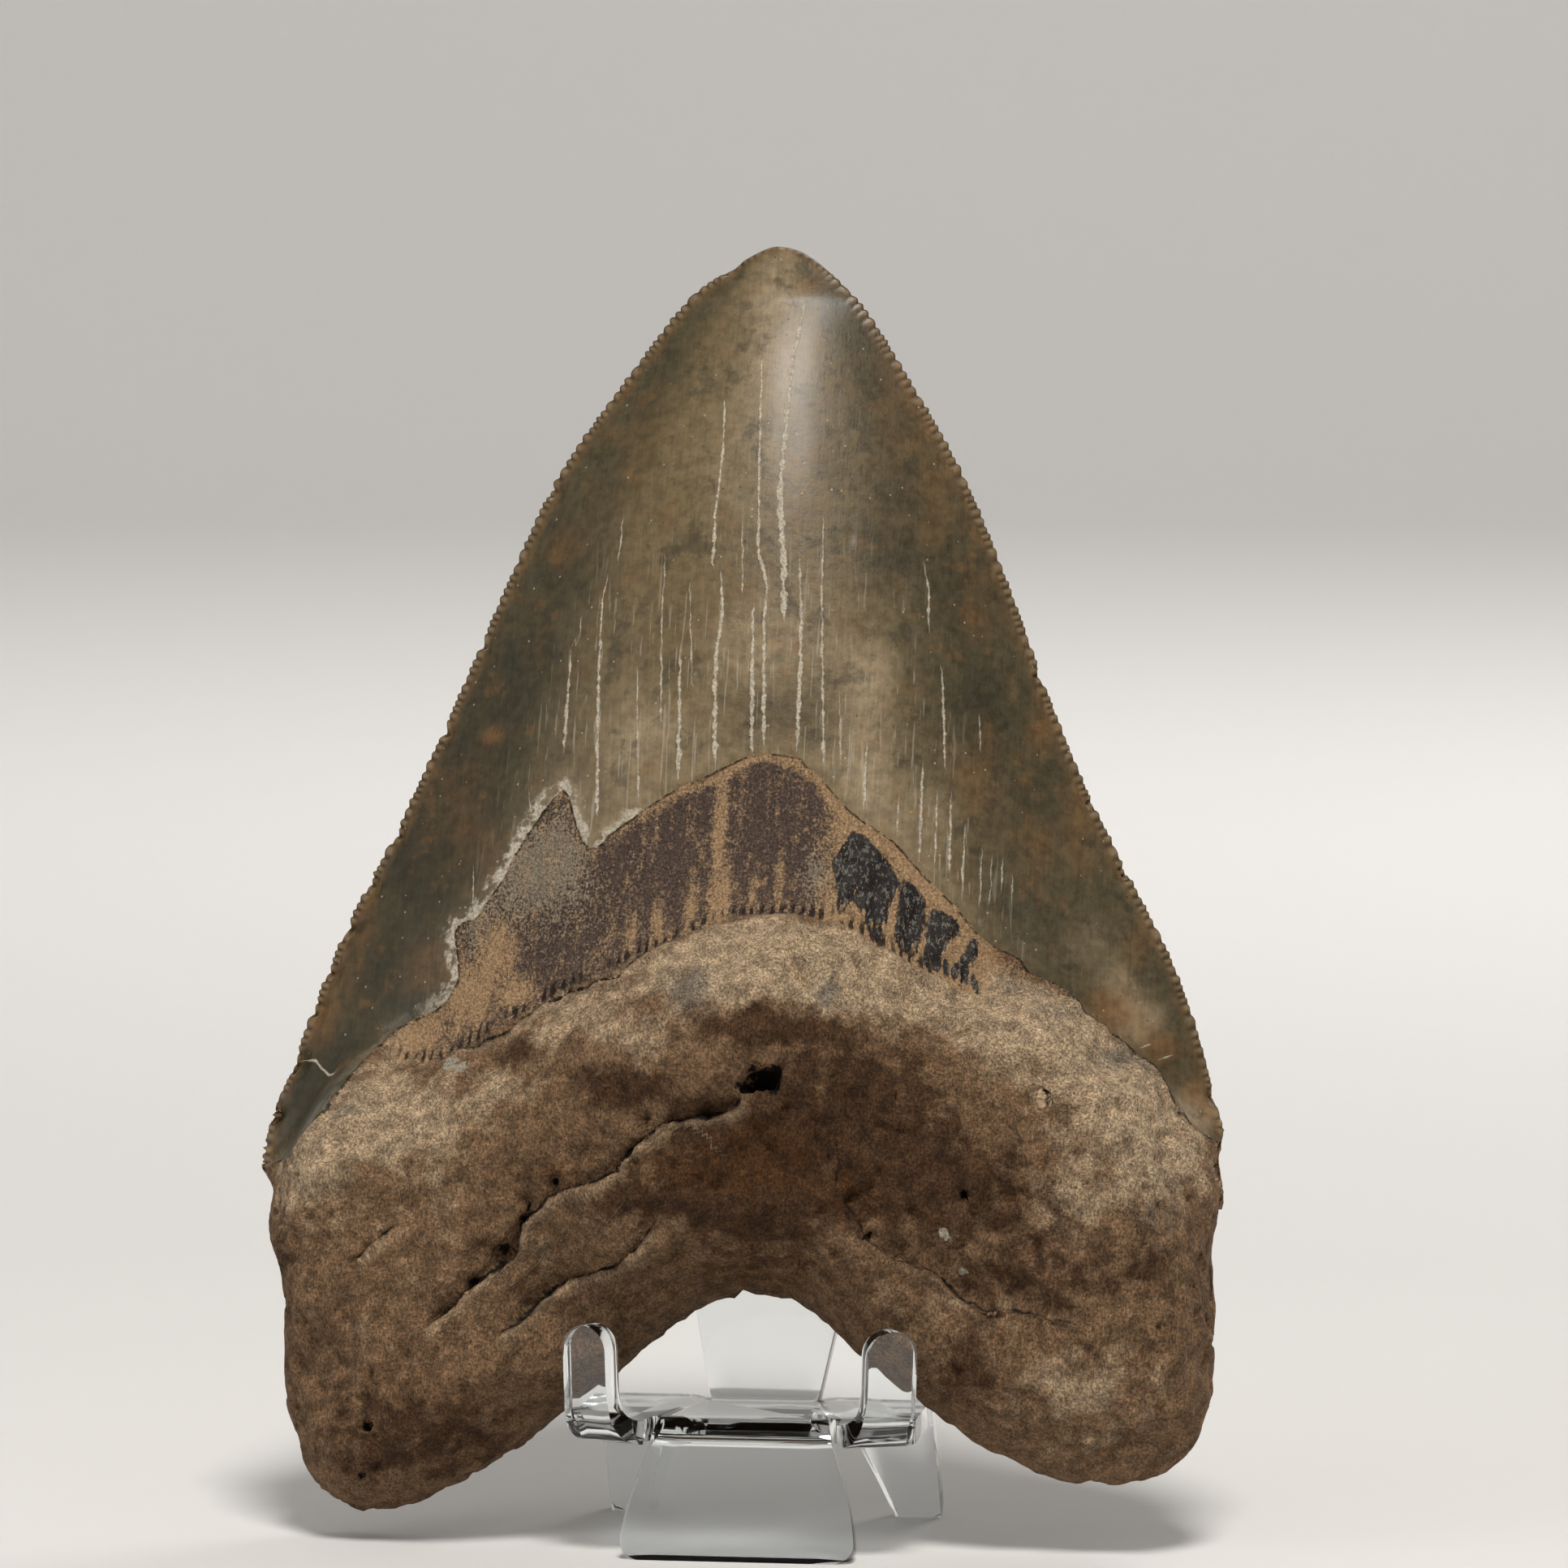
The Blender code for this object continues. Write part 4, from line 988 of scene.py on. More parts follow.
def stored(mesh, name, width):
    kept = mesh.attributes[name]
    values = np.empty(len(mesh.vertices) * width, dtype=np.float32)
    kept.data.foreach_get("value" if width == 1 else "vector", values)
    return values.reshape(-1, width).astype(float)


def row_fractions(rows, root_weight):
    """Fractions from the root's edge upward, closer together at the edge and over the root."""
    w = np.linspace(0.0, 1.0, 2001)
    density = 1.0 + EDGE_ROWS_CLOSER * np.exp(-w / EDGE_ROWS_RUN) + root_weight * (w < ROOT_ROWS_SHARE)
    total = np.concatenate([[0.0], np.cumsum(0.5 * (density[1:] + density[:-1]))])
    return np.interp(np.linspace(0.0, total[-1], rows + 1), total, w)


def stretched_grid(name, rows, band_rows, root_weight):
    """A flat grid, cut finer next to the crown's edge, with each vertex's fraction across and its row."""
    deselect_all()
    bpy.ops.mesh.primitive_grid_add(x_subdivisions=COLUMNS, y_subdivisions=rows, size=2.0)
    grid = bpy.context.object
    grid.name = name
    mesh = grid.data
    need(len(mesh.vertices) == (COLUMNS + 1) * (rows + 1), "the grid hasn't the rows and columns asked for")
    row = (vertex_places(mesh)[:, 1] * 0.5 + 0.5) * rows
    ends = np.empty(len(mesh.edges) * 2, dtype=np.int32)
    mesh.edges.foreach_get("vertices", ends)
    ends = row[ends.reshape(-1, 2)]
    chosen = (np.abs(ends[:, 0] - ends[:, 1]) < 0.01) & (ends[:, 0] > rows - band_rows + 0.5)
    bpy.ops.object.mode_set(mode="EDIT")
    bpy.ops.mesh.select_mode(type="EDGE")
    bpy.ops.mesh.select_all(action="DESELECT")
    bpy.ops.object.mode_set(mode="OBJECT")
    mesh.edges.foreach_set("select", chosen)
    bpy.ops.object.mode_set(mode="EDIT")
    bpy.ops.mesh.subdivide(number_cuts=BAND_CUTS, ngon=False)
    bpy.ops.object.mode_set(mode="OBJECT")
    places = vertex_places(mesh)
    return grid, places[:, 0] * 0.5 + 0.5, (places[:, 1] * 0.5 + 0.5) * rows


def cut_edge(flat, to_crown, along, settings):
    """Moves the vertices near the crown's edge out to its serrations and in at its chips.

    Returns their places, how far they rise, and where each is in its serration.
    """
    stops = lengths_along(CROWN_LINE)
    tangent = np.gradient(CROWN_LINE, axis=0)
    normal = np.column_stack([-tangent[:, 1], tangent[:, 0]])
    normal /= np.linalg.norm(normal, axis=1)[:, None]
    outward = np.column_stack([np.interp(along, stops, normal[:, k]) for k in (0, 1)])
    tip = stops[int(np.argmax(CROWN_LINE[:, 1]))]
    pitch = settings.serration_pitch / MM
    phase = along / pitch
    for swing, turn in SERRATION_DRIFT:
        phase = phase + swing * np.sin(along * turn)
    bump = np.abs(np.sin(math.pi * phase)) ** SERRATION_ROUND
    number = np.floor(phase)
    uneven = 1.0 - SERRATION_UNEVEN + SERRATION_UNEVEN * np.sin(number * 12.9898) * np.cos(number * 4.37)
    high = smoothstep((flat[:, 1] - SERRATION_LOW_END) / SERRATION_LOW_RUN)
    low = SERRATION_LOW + (1.0 - SERRATION_LOW) * high
    worn = smoothstep((np.abs(along - tip) - TIP_WORN) / TIP_WORN_RUN) * low
    depth = settings.serration_depth / MM * bump * uneven * worn
    falloff = np.clip(1.0 - to_crown / BAND_WIDTH, 0.0, 1.0)
    moved = flat + outward * (depth * falloff**3)[:, None]
    ribs = np.sin(math.pi * np.clip(to_crown / RIB_LENGTH, 0.0, 1.0)) ** 2
    rise = RIB_RISE * (bump - 0.5) * worn * ribs
    for cs, ch, radius, inward, deep in EDGE_CHIPS:
        near = np.hypot(flat[:, 0] - cs, flat[:, 1] - ch) / radius
        scoop = np.clip(1.0 - near**2, 0.0, 1.0)
        moved -= outward * (inward * scoop)[:, None]
        rise -= deep * scoop * smoothstep(to_crown / CHIP_RIM)
    return moved, rise, phase


def shape_face(grid, across, row, rows, band_rows, root_weight, face, settings):
    """Stretches the grid between the root's and the crown's outlines and raises it to one face."""
    low = at_fraction(ROOT_LINE, across)
    high = at_fraction(CROWN_LINE, across)
    span = np.linalg.norm(high - low, axis=1)
    band = np.minimum(BAND_WIDTH / np.maximum(span, 1e-6), BAND_SHARE)
    body_rows = rows - band_rows
    body = np.interp(row, np.arange(body_rows + 1), row_fractions(body_rows, root_weight)) * (1.0 - band)
    fraction = np.where(row <= body_rows, body, 1.0 - band * (rows - row) / band_rows)
    flat = low + (high - low) * fraction[:, None]
    to_crown, _, along = nearest(flat, CROWN_LINE[::2])
    to_root, _, _ = nearest(flat, ROOT_LINE[::4])
    ends = (across < 1e-6) | (across > 1.0 - 1e-6)
    rim = (fraction < 1e-9) | (fraction > 1.0 - 1e-9) | ends
    to_crown[rim & (fraction > 0.5)] = 0.0
    to_crown[ends] = 0.0
    to_root[rim & (fraction < 0.5)] = 0.0
    to_root[ends] = 0.0
    moved, rise, phase = cut_edge(flat, to_crown, along, settings)
    moved[ends] = flat[ends]
    rise[rim] = 0.0
    d = face(flat, to_crown, to_root) + rise
    d[rim] = rim_level(flat)[rim]
    place_vertices(grid.data, to_room(moved, d))
    store(grid.data, "place", np.column_stack([moved, d]))
    store(grid.data, "tongue_side", np.full(len(flat), 1.0 if face is front_face else 0.0))
    store(grid.data, "serration", phase)


def stain_strength(points, stains):
    total = np.zeros(len(points))
    for cs, ch, half_s, half_h, strength in stains:
        off = ((points[:, 0] - cs) / half_s) ** 2 + ((points[:, 1] - ch) / half_h) ** 2
        total += strength * np.exp(-off)
    return total


def crack_field(points, cracks):
    """Signed distance across the nearest crack, and that crack's half width fading out at its ends."""
    gap = np.full(len(points), OFF_MARK)
    width = np.zeros(len(points))
    closest = np.full(len(points), FAR)
    for line, half in cracks:
        path = np.array(line, float)
        dist, side, along = nearest(points, path)
        total = lengths_along(path)[-1]
        ends = np.clip(np.minimum(along, total - along) / min(CRACK_END, CRACK_END_SHARE * total), 0.0, 1.0)
        thicker = CRACK_START_WIDTH + CRACK_GROWTH * along / total
        closer = dist < closest
        closest[closer] = dist[closer]
        gap[closer] = (side * dist)[closer]
        width[closer] = (half * thicker * ends**CRACK_POINT * np.clip(CRACK_REACH - dist, 0.0, 1.0))[closer]
    return gap, width


def mostly_front(front, behind):
    """A share of 1 on the front and less behind, for each vertex."""
    return (behind + (1.0 - behind) * front)[:, None]


def describe_surface(mesh):
    """Stores what the fossil's material needs to know at each vertex."""
    place = stored(mesh, "place", 3)
    front = stored(mesh, "tongue_side", 1)[:, 0]
    points = place[:, :2]
    to_crown, _, _ = nearest(points, CROWN_LINE[::2])
    enamel_front = signed_gap(points, ENAMEL_LINE, OVER_THE_TOOTH)
    enamel_back = points[:, 1] - BACK_EDGE_MIDDLE - BACK_EDGE_CURVE * points[:, 0] ** 2
    band_gap = signed_gap(points, BAND_LINE, OVER_THE_TOOTH)
    enamel_gap = enamel_back + (enamel_front - enamel_back) * front
    store(mesh, "edges", np.column_stack([enamel_gap, np.where(front > 0.5, band_gap, -OFF_BAND), to_crown]))
    patch = np.full(len(points), -OFF_MARK)
    for outline in SKIN_PATCHES:
        line = np.array(outline + outline[:1], float)
        patch = np.maximum(patch, signed_gap(points, line, ()))
    gap, half, deep = fissure_field(points)
    pit = np.full(len(points), -OFF_MARK)
    for cs, ch, half_s, half_h, _ in PITS:
        pit = np.maximum(pit, 1.0 - np.hypot((points[:, 0] - cs) / half_s, (points[:, 1] - ch) / half_h))
    dark = np.clip(deep, 0.0, FISSURE_DEPTH_RANGE[1]) * half * front
    store(mesh, "fissures", np.column_stack([gap, dark, pit + OFF_MARK * (front - 1.0)]))
    rust = stain_strength(points, ROOT_RUST) * front
    patch = np.where(front > 0.5, patch, -OFF_MARK)
    store(mesh, "marks", np.column_stack([patch, rust, across_crown(points)]))
    band_stains = [stain_strength(points, stains) for stains in (BAND_TAN, BAND_GREY)]
    to_root, _, _ = nearest(points, ROOT_LINE[::4])
    store(mesh, "band_stains", np.column_stack([*band_stains, to_root]))
    gap_a, width_a = crack_field(points, CRACKS_A)
    gap_b, width_b = crack_field(points, CRACKS_B)
    store(mesh, "cracks_a", np.column_stack([gap_a, width_a * front, front]))
    store(mesh, "cracks_b", np.column_stack([gap_b, width_b * front, front]))
    enamel_stains_and_highlights = [stain_strength(points, stains) for stains in (ENAMEL_AMBER, ENAMEL_DARK, ENAMEL_PALE)]
    store(mesh, "enamel_stains_and_highlights", np.column_stack(enamel_stains_and_highlights) * mostly_front(front, BACK_ENAMEL_STAINS_AND_HIGHLIGHTS))
    root_stains = [stain_strength(points, stains) for stains in (ROOT_DARK, ROOT_PALE, ROOT_BLUE)]
    store(mesh, "root_stains", np.column_stack(root_stains) * mostly_front(front, BACK_ROOT_STAINS))
    crumbs = np.full(len(points), -OFF_MARK)
    for cs, ch, radius in WHITE_CRUMBS:
        crumbs = np.maximum(crumbs, radius - np.hypot(points[:, 0] - cs, points[:, 1] - ch))
    store(mesh, "crumbs", np.where(front > 0.5, crumbs, -OFF_MARK))


def roughen(mesh, settings):
    """Presses the fine relief into the surface along its normals: grain on the root, wear on the rest."""
    place = stored(mesh, "place", 3)
    edges = stored(mesh, "edges", 3)
    marks = stored(mesh, "marks", 3)
    normals = np.empty(len(mesh.vertices) * 3)
    mesh.vertices.foreach_get("normal", normals)
    normals = normals.reshape(-1, 3)
    bare = smoothstep(0.5 - edges[:, 0] / ENAMEL_FADE)
    root = bare * smoothstep(0.5 - edges[:, 1] / BAND_FADE)
    grain = settings.root_grain / MM
    calm = CALM_EDGE + (1.0 - CALM_EDGE) * smoothstep(stored(mesh, "band_stains", 3)[:, 2] / CALM_RUN)
    wide = LUMP_SHARE * rough(place, LUMP_SIZE, 3) + KNOB_SHARE * rough(place, KNOB_SIZE, 11, 3)
    pores = np.maximum(rough(place, PORE_SIZE, 23, 2) - PORE_START, 0.0)
    fibres = rough(place * FIBRE_STRETCH, FIBRE_SIZE, 31)
    push = root * grain * (wide * calm - PORE_DEPTH * pores + FIBRE_SHARE * fibres)
    band_grain = rough(place, BAND_GRAIN_SIZE, 41, 2) + fibres
    push += bare * (1.0 - root) * grain * BAND_SHARE_OF_GRAIN * band_grain
    wear = rough(place * WEAR_STRETCH, WEAR_SIZE, 51, 2) * smoothstep(edges[:, 2] / RELIEF_INSET)
    push += (1.0 - bare) * ENAMEL_WEAR * wear
    push += SKIN_RISE * smoothstep(0.5 + marks[:, 0] / SKIN_EDGE)
    places = vertex_places(mesh) + normals * (push * MM)[:, None]
    places[:, 2] = np.maximum(places[:, 2], 0.0)
    place_vertices(mesh, places)


# Node building


class Bench:
    """Lays nodes out in rows in one tree and links them."""

    def __init__(self, tree):
        self.tree = tree
        self.made = 0

    def node(self, kind, **settings):
        made = self.tree.nodes.new(kind)
        made.location = (self.made % 14 * 190.0, -(self.made // 14) * 280.0)
        self.made += 1
        for name, value in settings.items():
            setattr(made, name, value)
        return made

    def feed(self, socket, value):
        if isinstance(value, bpy.types.NodeSocket):
            self.tree.links.new(value, socket)
        elif hasattr(socket.default_value, "__len__") and len(socket.default_value) == 4:
            socket.default_value = (*value[:3], 1.0)
        else:
            socket.default_value = value

    def math(self, operation, a, b=0.0):
        made = self.node("ShaderNodeMath", operation=operation)
        self.feed(made.inputs[0], a)
        self.feed(made.inputs[1], b)
        return made.outputs[0]

    def times(self, first, *others):
        for other in others:
            first = self.math("MULTIPLY", first, other)
        return first

    def plus(self, first, *others):
        for other in others:
            first = self.math("ADD", first, other)
        return first

    def swing(self, noise, amount):
        """Turns noise about a half into a swing about nothing."""
        return self.times(self.math("SUBTRACT", noise, 0.5), amount)

    def mix(self, factor, a, b):
        made = self.node("ShaderNodeMix", data_type="RGBA")
        self.feed(made.inputs[0], factor)
        self.feed(made.inputs[6], a)
        self.feed(made.inputs[7], b)
        return made.outputs[2]

    def between(self, factor, a, b):
        made = self.node("ShaderNodeMix", data_type="FLOAT")
        self.feed(made.inputs[0], factor)
        self.feed(made.inputs[2], a)
        self.feed(made.inputs[3], b)
        return made.outputs[0]

    def rise(self, value, low, high, start=0.0, end=1.0):
        """Goes softly from start at low to end at high."""
        made = self.node("ShaderNodeMapRange", interpolation_type="SMOOTHSTEP")
        for socket, what in zip(made.inputs, (value, low, high, start, end)):
            self.feed(socket, what)
        return made.outputs[0]

    def scale(self, colour, amount):
        made = self.node("ShaderNodeVectorMath", operation="SCALE")
        self.feed(made.inputs[0], colour)
        self.feed(made.inputs["Scale"], amount)
        return made.outputs[0]

    def stretch(self, place, by):
        made = self.node("ShaderNodeVectorMath", operation="MULTIPLY")
        self.feed(made.inputs[0], place)
        made.inputs[1].default_value = by
        return made.outputs[0]

    def noise(self, place, size, detail, roughness):
        """Noise with bumps of this size in the place's own unit."""
        made = self.node("ShaderNodeTexNoise")
        self.feed(made.inputs["Vector"], place)
        given = isinstance(size, bpy.types.NodeSocket)
        self.feed(made.inputs["Scale"], self.math("DIVIDE", 1.0, size) if given else 1.0 / size)
        made.inputs["Detail"].default_value = detail
        made.inputs["Roughness"].default_value = roughness
        return made.outputs[0]

    def attribute(self, name):
        return self.node("ShaderNodeAttribute", attribute_name=name)

    def parts(self, vector):
        made = self.node("ShaderNodeSeparateXYZ")
        self.feed(made.inputs[0], vector)
        return made.outputs

    def group(self, tree, output, **values):
        made = self.node("ShaderNodeGroup", node_tree=tree)
        for name, value in values.items():
            self.feed(made.inputs[name.replace("_", " ").capitalize()], value)
        return made.outputs[output]


# The shared effects: noise as size, detail and roughness, where the size can come from the group, stretch as
# how much closer the noise lies along s, h and d, and rises as where they start and end.
TEAR_NOISE = (3.0, 0.62)
WANDER_STRETCH = (0.3, 1.0, 0.3)
WANDER_NOISE = (1.6, 3.0, 0.7)
SWELL_STRETCH = (0.5, 1.0, 0.5)
SWELL_NOISE = (0.9, 2.0, 0.6)
SWELL_RISE = (0.3, 0.7, 0.35, 1.35)
CRACK_EDGE = -0.05
CRACK_FAINTEST = (0.01, 0.05)
GRAIN_NOISE = (3.0, 0.7)
GRAIN_STRETCH = (1.6, 0.45, 1.6)
FIBRE_NOISE = (3.0, 0.5)
GRAIN_RISE = (0.3, 0.7)
PORES_RISE = (0.42, 0.28)
SPECK_CHANCE = (0.55, 1.0)
SPECK_EDGE = 0.06


def effect(name, inputs, outputs):
    """An empty shader group with these sockets, and a bench to fill it."""
    tree = bpy.data.node_groups.new(name, "ShaderNodeTree")
    for kind, label, default in inputs:
        socket = tree.interface.new_socket(label, in_out="INPUT", socket_type=kind)
        if default is not None:
            socket.default_value = default
    for kind, label in outputs:
        tree.interface.new_socket(label, in_out="OUTPUT", socket_type=kind)
    bench = Bench(tree)
    return tree, bench, bench.node("NodeGroupInput").outputs, bench.node("NodeGroupOutput").inputs


def broken_stain():
    """A soft stain given a torn, natural edge by noise."""
    tree, bench, given, out = effect(
        "torn stain edge",
        (
            ("NodeSocketVector", "Place", None),
            ("NodeSocketFloat", "Stain", 0.0),
            ("NodeSocketFloat", "Size", 1.0),
            ("NodeSocketFloat", "Tear", 0.5),
            ("NodeSocketFloat", "Softness", 0.3),
        ),
        (("NodeSocketFloat", "Mask"),),
    )
    noise = bench.noise(given["Place"], given["Size"], *TEAR_NOISE)
    value = bench.plus(given["Stain"], bench.swing(noise, bench.times(given["Tear"], 2.0)))
    low = bench.math("SUBTRACT", 0.5, given["Softness"])
    high = bench.math("ADD", 0.5, given["Softness"])
    bench.feed(out["Mask"], bench.rise(value, low, high))
    return tree


def ragged_crack():
    """A crack that wanders and swells along its length, from the distance across it and its half width."""
    tree, bench, given, out = effect(
        "ragged crack",
        (
            ("NodeSocketVector", "Place", None),
            ("NodeSocketVector", "Crack", None),
            ("NodeSocketFloat", "Wander", 0.45),
            ("NodeSocketFloat", "Soft", 0.09),
        ),
        (("NodeSocketFloat", "Mask"),),
    )
    gap, width, _ = bench.parts(given["Crack"])
    wander = bench.noise(bench.stretch(given["Place"], WANDER_STRETCH), *WANDER_NOISE)
    moved = bench.plus(gap, bench.swing(wander, given["Wander"]))
    swell = bench.noise(bench.stretch(given["Place"], SWELL_STRETCH), *SWELL_NOISE)
    reach = bench.times(width, bench.rise(swell, *SWELL_RISE))
    off = bench.math("SUBTRACT", reach, bench.math("ABSOLUTE", moved))
    line = bench.rise(off, CRACK_EDGE, given["Soft"])
    bench.feed(out["Mask"], bench.times(line, bench.rise(width, *CRACK_FAINTEST)))
    return tree


def stone_grain():
    """Fine granular and fibrous speckle of porous fossil bone."""
    tree, bench, given, out = effect(
        "stone grain",
        (
            ("NodeSocketVector", "Place", None),
            ("NodeSocketFloat", "Size", 0.5),
            ("NodeSocketFloat", "Fibre", 0.5),
        ),
        (("NodeSocketFloat", "Grain"), ("NodeSocketFloat", "Pores")),
    )
    grains = bench.noise(given["Place"], given["Size"], *GRAIN_NOISE)
    fibres = bench.noise(bench.stretch(given["Place"], GRAIN_STRETCH), given["Size"], *FIBRE_NOISE)
    both = bench.between(given["Fibre"], grains, fibres)
    bench.feed(out["Grain"], bench.rise(both, *GRAIN_RISE))
    bench.feed(out["Pores"], bench.rise(both, *PORES_RISE))
    return tree


def specks():
    """Sparse small dots."""
    tree, bench, given, out = effect(
        "sparse specks",
        (
            ("NodeSocketVector", "Place", None),
            ("NodeSocketFloat", "Spacing", 1.0),
            ("NodeSocketFloat", "Radius", 0.2),
        ),
        (("NodeSocketFloat", "Mask"),),
    )
    cells = bench.node("ShaderNodeTexVoronoi")
    bench.feed(cells.inputs["Vector"], given["Place"])
    bench.feed(cells.inputs["Scale"], bench.math("DIVIDE", 1.0, given["Spacing"]))
    chance = bench.parts(cells.outputs["Color"])[0]
    reach = bench.times(given["Radius"], bench.rise(chance, *SPECK_CHANCE))
    inside = bench.math("SUBTRACT", reach, cells.outputs["Distance"])
    bench.feed(out["Mask"], bench.rise(inside, 0.0, SPECK_EDGE))
    return tree


# The finish of the tooth. Edges of the stains: size of the noise that tears them in millimetres, how far it
# tears, and how soft the edge stays.
STAIN_EDGES = {
    "flank": (9.0, 0.35, 0.45),
    "light": (5.0, 0.30, 0.50),
    "clouds": (6.0, 0.40, 0.45),
    "warm": (4.0, 0.40, 0.50),
    "rim": (3.2, 0.75, 0.40),
    "band tan": (0.7, 0.60, 0.45),
    "band grey": (0.8, 0.70, 0.30),
    "root pale": (3.0, 0.70, 0.30),
    "root dark": (2.4, 0.70, 0.22),
    "root rust": (2.0, 0.70, 0.40),
    "root blue": (1.4, 0.60, 0.40),
}
# Noise patterns: how much closer they lie along s, h and d, their size in millimetres, detail and roughness.
EVEN = (1.0, 1.0, 1.0)
PATTERNS = {
    "blotch": (EVEN, 3.4, 4.0, 0.68),
    "mottle": (EVEN, 1.1, 3.0, 0.65),
    "hairlines": ((3.6, 0.05, 1.0), 1.0, 3.0, 0.65),
    "silk": ((2.6, 0.035, 1.0), 1.0, 2.0, 0.60),
    "filling": (EVEN, 0.3, 3.0, 0.75),
    "edge": (EVEN, 1.5, 3.0, 0.60),
    "streaks": ((1.0, 0.10, 1.0), 1.0, 3.0, 0.65),
    "ragged skin": ((2.4, 0.8, 1.0), 0.7, 3.0, 0.70),
    "skin wear": ((1.6, 0.8, 1.0), 0.5, 2.0, 0.75),
    "glint": ((1.5, 0.8, 1.0), 0.5, 2.0, 0.75),
    "fleck": (EVEN, 1.7, 4.0, 0.72),
    "torn hole": (EVEN, 0.55, 3.0, 0.70),
    "enamel end": (EVEN, 0.8, 3.0, 0.70),
}
# How a value becomes a mask or a strength: where the rise starts and ends, then what it is before and after,
# where that isn't 0 and 1.
RAMPS = {
    "flank": (0.30, 0.85),
    "amber blotch": (0.55, 0.68, 0.0, 0.35),
    "dark blotch": (0.46, 0.36, 0.0, 0.45),
    "rim": (1.8, 0.0),
    # The notch and serration ramps place the painted shade in the serrations' notches and the painted
    # highlight on their tops.
    "notch": (0.5, 0.1),
    "notch reach": (0.8, 0.2),
    "serration": (0.55, 0.95),
    "serration reach": (0.7, 0.1),
    "low edge": (3.2, 0.4),
    "low edge middle": (0.75, 0.4),
    "hairline shade": (0.3, 0.7, 0.90, 1.08),
    "mottle shade": (0.3, 0.7, -0.20, 0.20),
    "silk": (0.60, 0.67),
    "silk height": (104.0, 84.0),
    "silk middle": (0.8, 0.5),
    "filling": (0.35, 0.62, 0.62, 1.30),
    "lip width": (0.35, 0.6, 0.9, -0.4),
    "lip at the notch": (-22.0, -19.0, 0.0, 0.3),
    "lip end": (-9.0, -11.5),
    "lip": (1.35, 0.25),
    "lip at the corner": (-36.0, -31.0, 0.12, 0.9),
    "streaks": (0.42, 0.72, 0.0, 0.42),
    "low band": (5.0, 0.8),
    "under the enamel": (-1.6, -0.3),
    "under the enamel, right": (-18.0, -6.0, 0.2, 0.75),
    "right of the band": (4.5, 7.5),
    "notch wave": (0.0, 0.5),
    "band edge": (-0.1, 0.35),
    "notch height": (2.2, 0.9),
    "worn notches": (0.38, 0.50),
    "band grain": (0.0, 1.0, 0.62, 1.38),
    "slit": (0.35, 0.8),
    "slit height": (3.4, 1.6, 0.0, 0.7),
    "skin": (-0.06, 0.12),
    "skin wear": (0.70, 0.62),
    "glint": (0.53, 0.64, 0.0, 0.75),
    "fissure lip start": (0.1, 0.5),
    "fissure lip end": (1.9, 0.6),
    "fissure lip": (0.06, 0.20, 0.0, 0.40),
    "stone": (0.0, 1.0, 0.50, 1.50),
    "fleck": (0.3, 0.7, 0.60, 1.38),
    "broken fissure": (0.36, 0.52, 0.35, 1.0),
    "hole": (-0.05, 0.25),
    "crumb": (0.0, 0.15),
    "enamel": (-0.05, 0.08),
    "band": (-0.3, 0.4),
    "band start": (-36.0, -33.0),
    "band end": (27.0, 23.0),
    "undercut_shadow": (-0.28, -0.10),
    "broken undercut": (0.42, 0.56),
    "enamel roughness": (0.25, 0.75, 0.38, 0.52),
    "body roughness": (0.0, 1.0, 0.88, 0.74),
    "skin roughness": (0.3, 0.7, 0.38, 0.55),
}
# Layers of colour over the ground, from the lowest: mask, colour, and how much of it covers.
ENAMEL_CLOUDS = (
    ("light", "enamel_pale", 0.85),
    ("clouds", "enamel_dark", 0.75),
    ("warm", "enamel_amber", 0.70),
    ("amber blotch", "enamel_amber", 1.0),
    ("dark blotch", "enamel_dark", 1.0),
    ("rim", "enamel_amber", 0.35),
    # Painted light: the notch layer is painted shade in the notches between the serrations, the serration
    # layer a painted highlight on their tops.
    ("notch", "enamel_dark", 0.60),
    ("serration", "enamel_pale", 0.40),
    ("low edge", "enamel_pale", 0.45),
)
ENAMEL_MARKS = (("silk", "crack_white", 0.35), ("pits", "enamel_dark", 0.60), ("dots", "crack_white", 0.55))
ROOT_STAINS_AND_LIP_HIGHLIGHT = (
    ("root pale", "root_pale", 1.0),
    ("root dark", "root_dark", 1.0),
    ("root rust", "root_rust", 0.75),
    ("root blue", "root_blue", 0.65),
    # The fissure lip layer is a painted highlight along the raised lower lip of each fissure.
    ("fissure lip", "root_pale", 1.0),
)
LINE_SHARE = 0.9
NOTCH_SHARE = 0.9
PORE_SHARE = 0.6
UNDERCUT_SHADOW_SHARE = 0.85
# The band: how much its own stains, its lower part and its right end add to the tan.
BAND_TAN_SHARE = 0.8
LOW_BAND_TAN = 0.20
RIGHT_TAN = 0.65
# How far noise moves an edge, in millimetres or in parts of a stain.
LIP_SWING = 2.6
LIP_END_SWING = 3.0
SPECK_SWING = 0.9
TAN_SPECKS = 0.5
NOTCH_SWING = 1.2
SKIN_SWING = 1.0
HOLE_SWING_FINE = 1.6
HOLE_SWING = 1.2
CRUMB_SWING = 1.5
ENAMEL_SWING = 0.5
BAND_SWING = 1.4
BAND_END_SWING = 5.0
# Small notches along the band's lower edge, in radians a millimetre.
NOTCHES = 6.6
# Painted shade: near-black inside the fissures and in the thin line under the enamel's step.
FISSURE_DARK = (0.012, 0.009, 0.006)
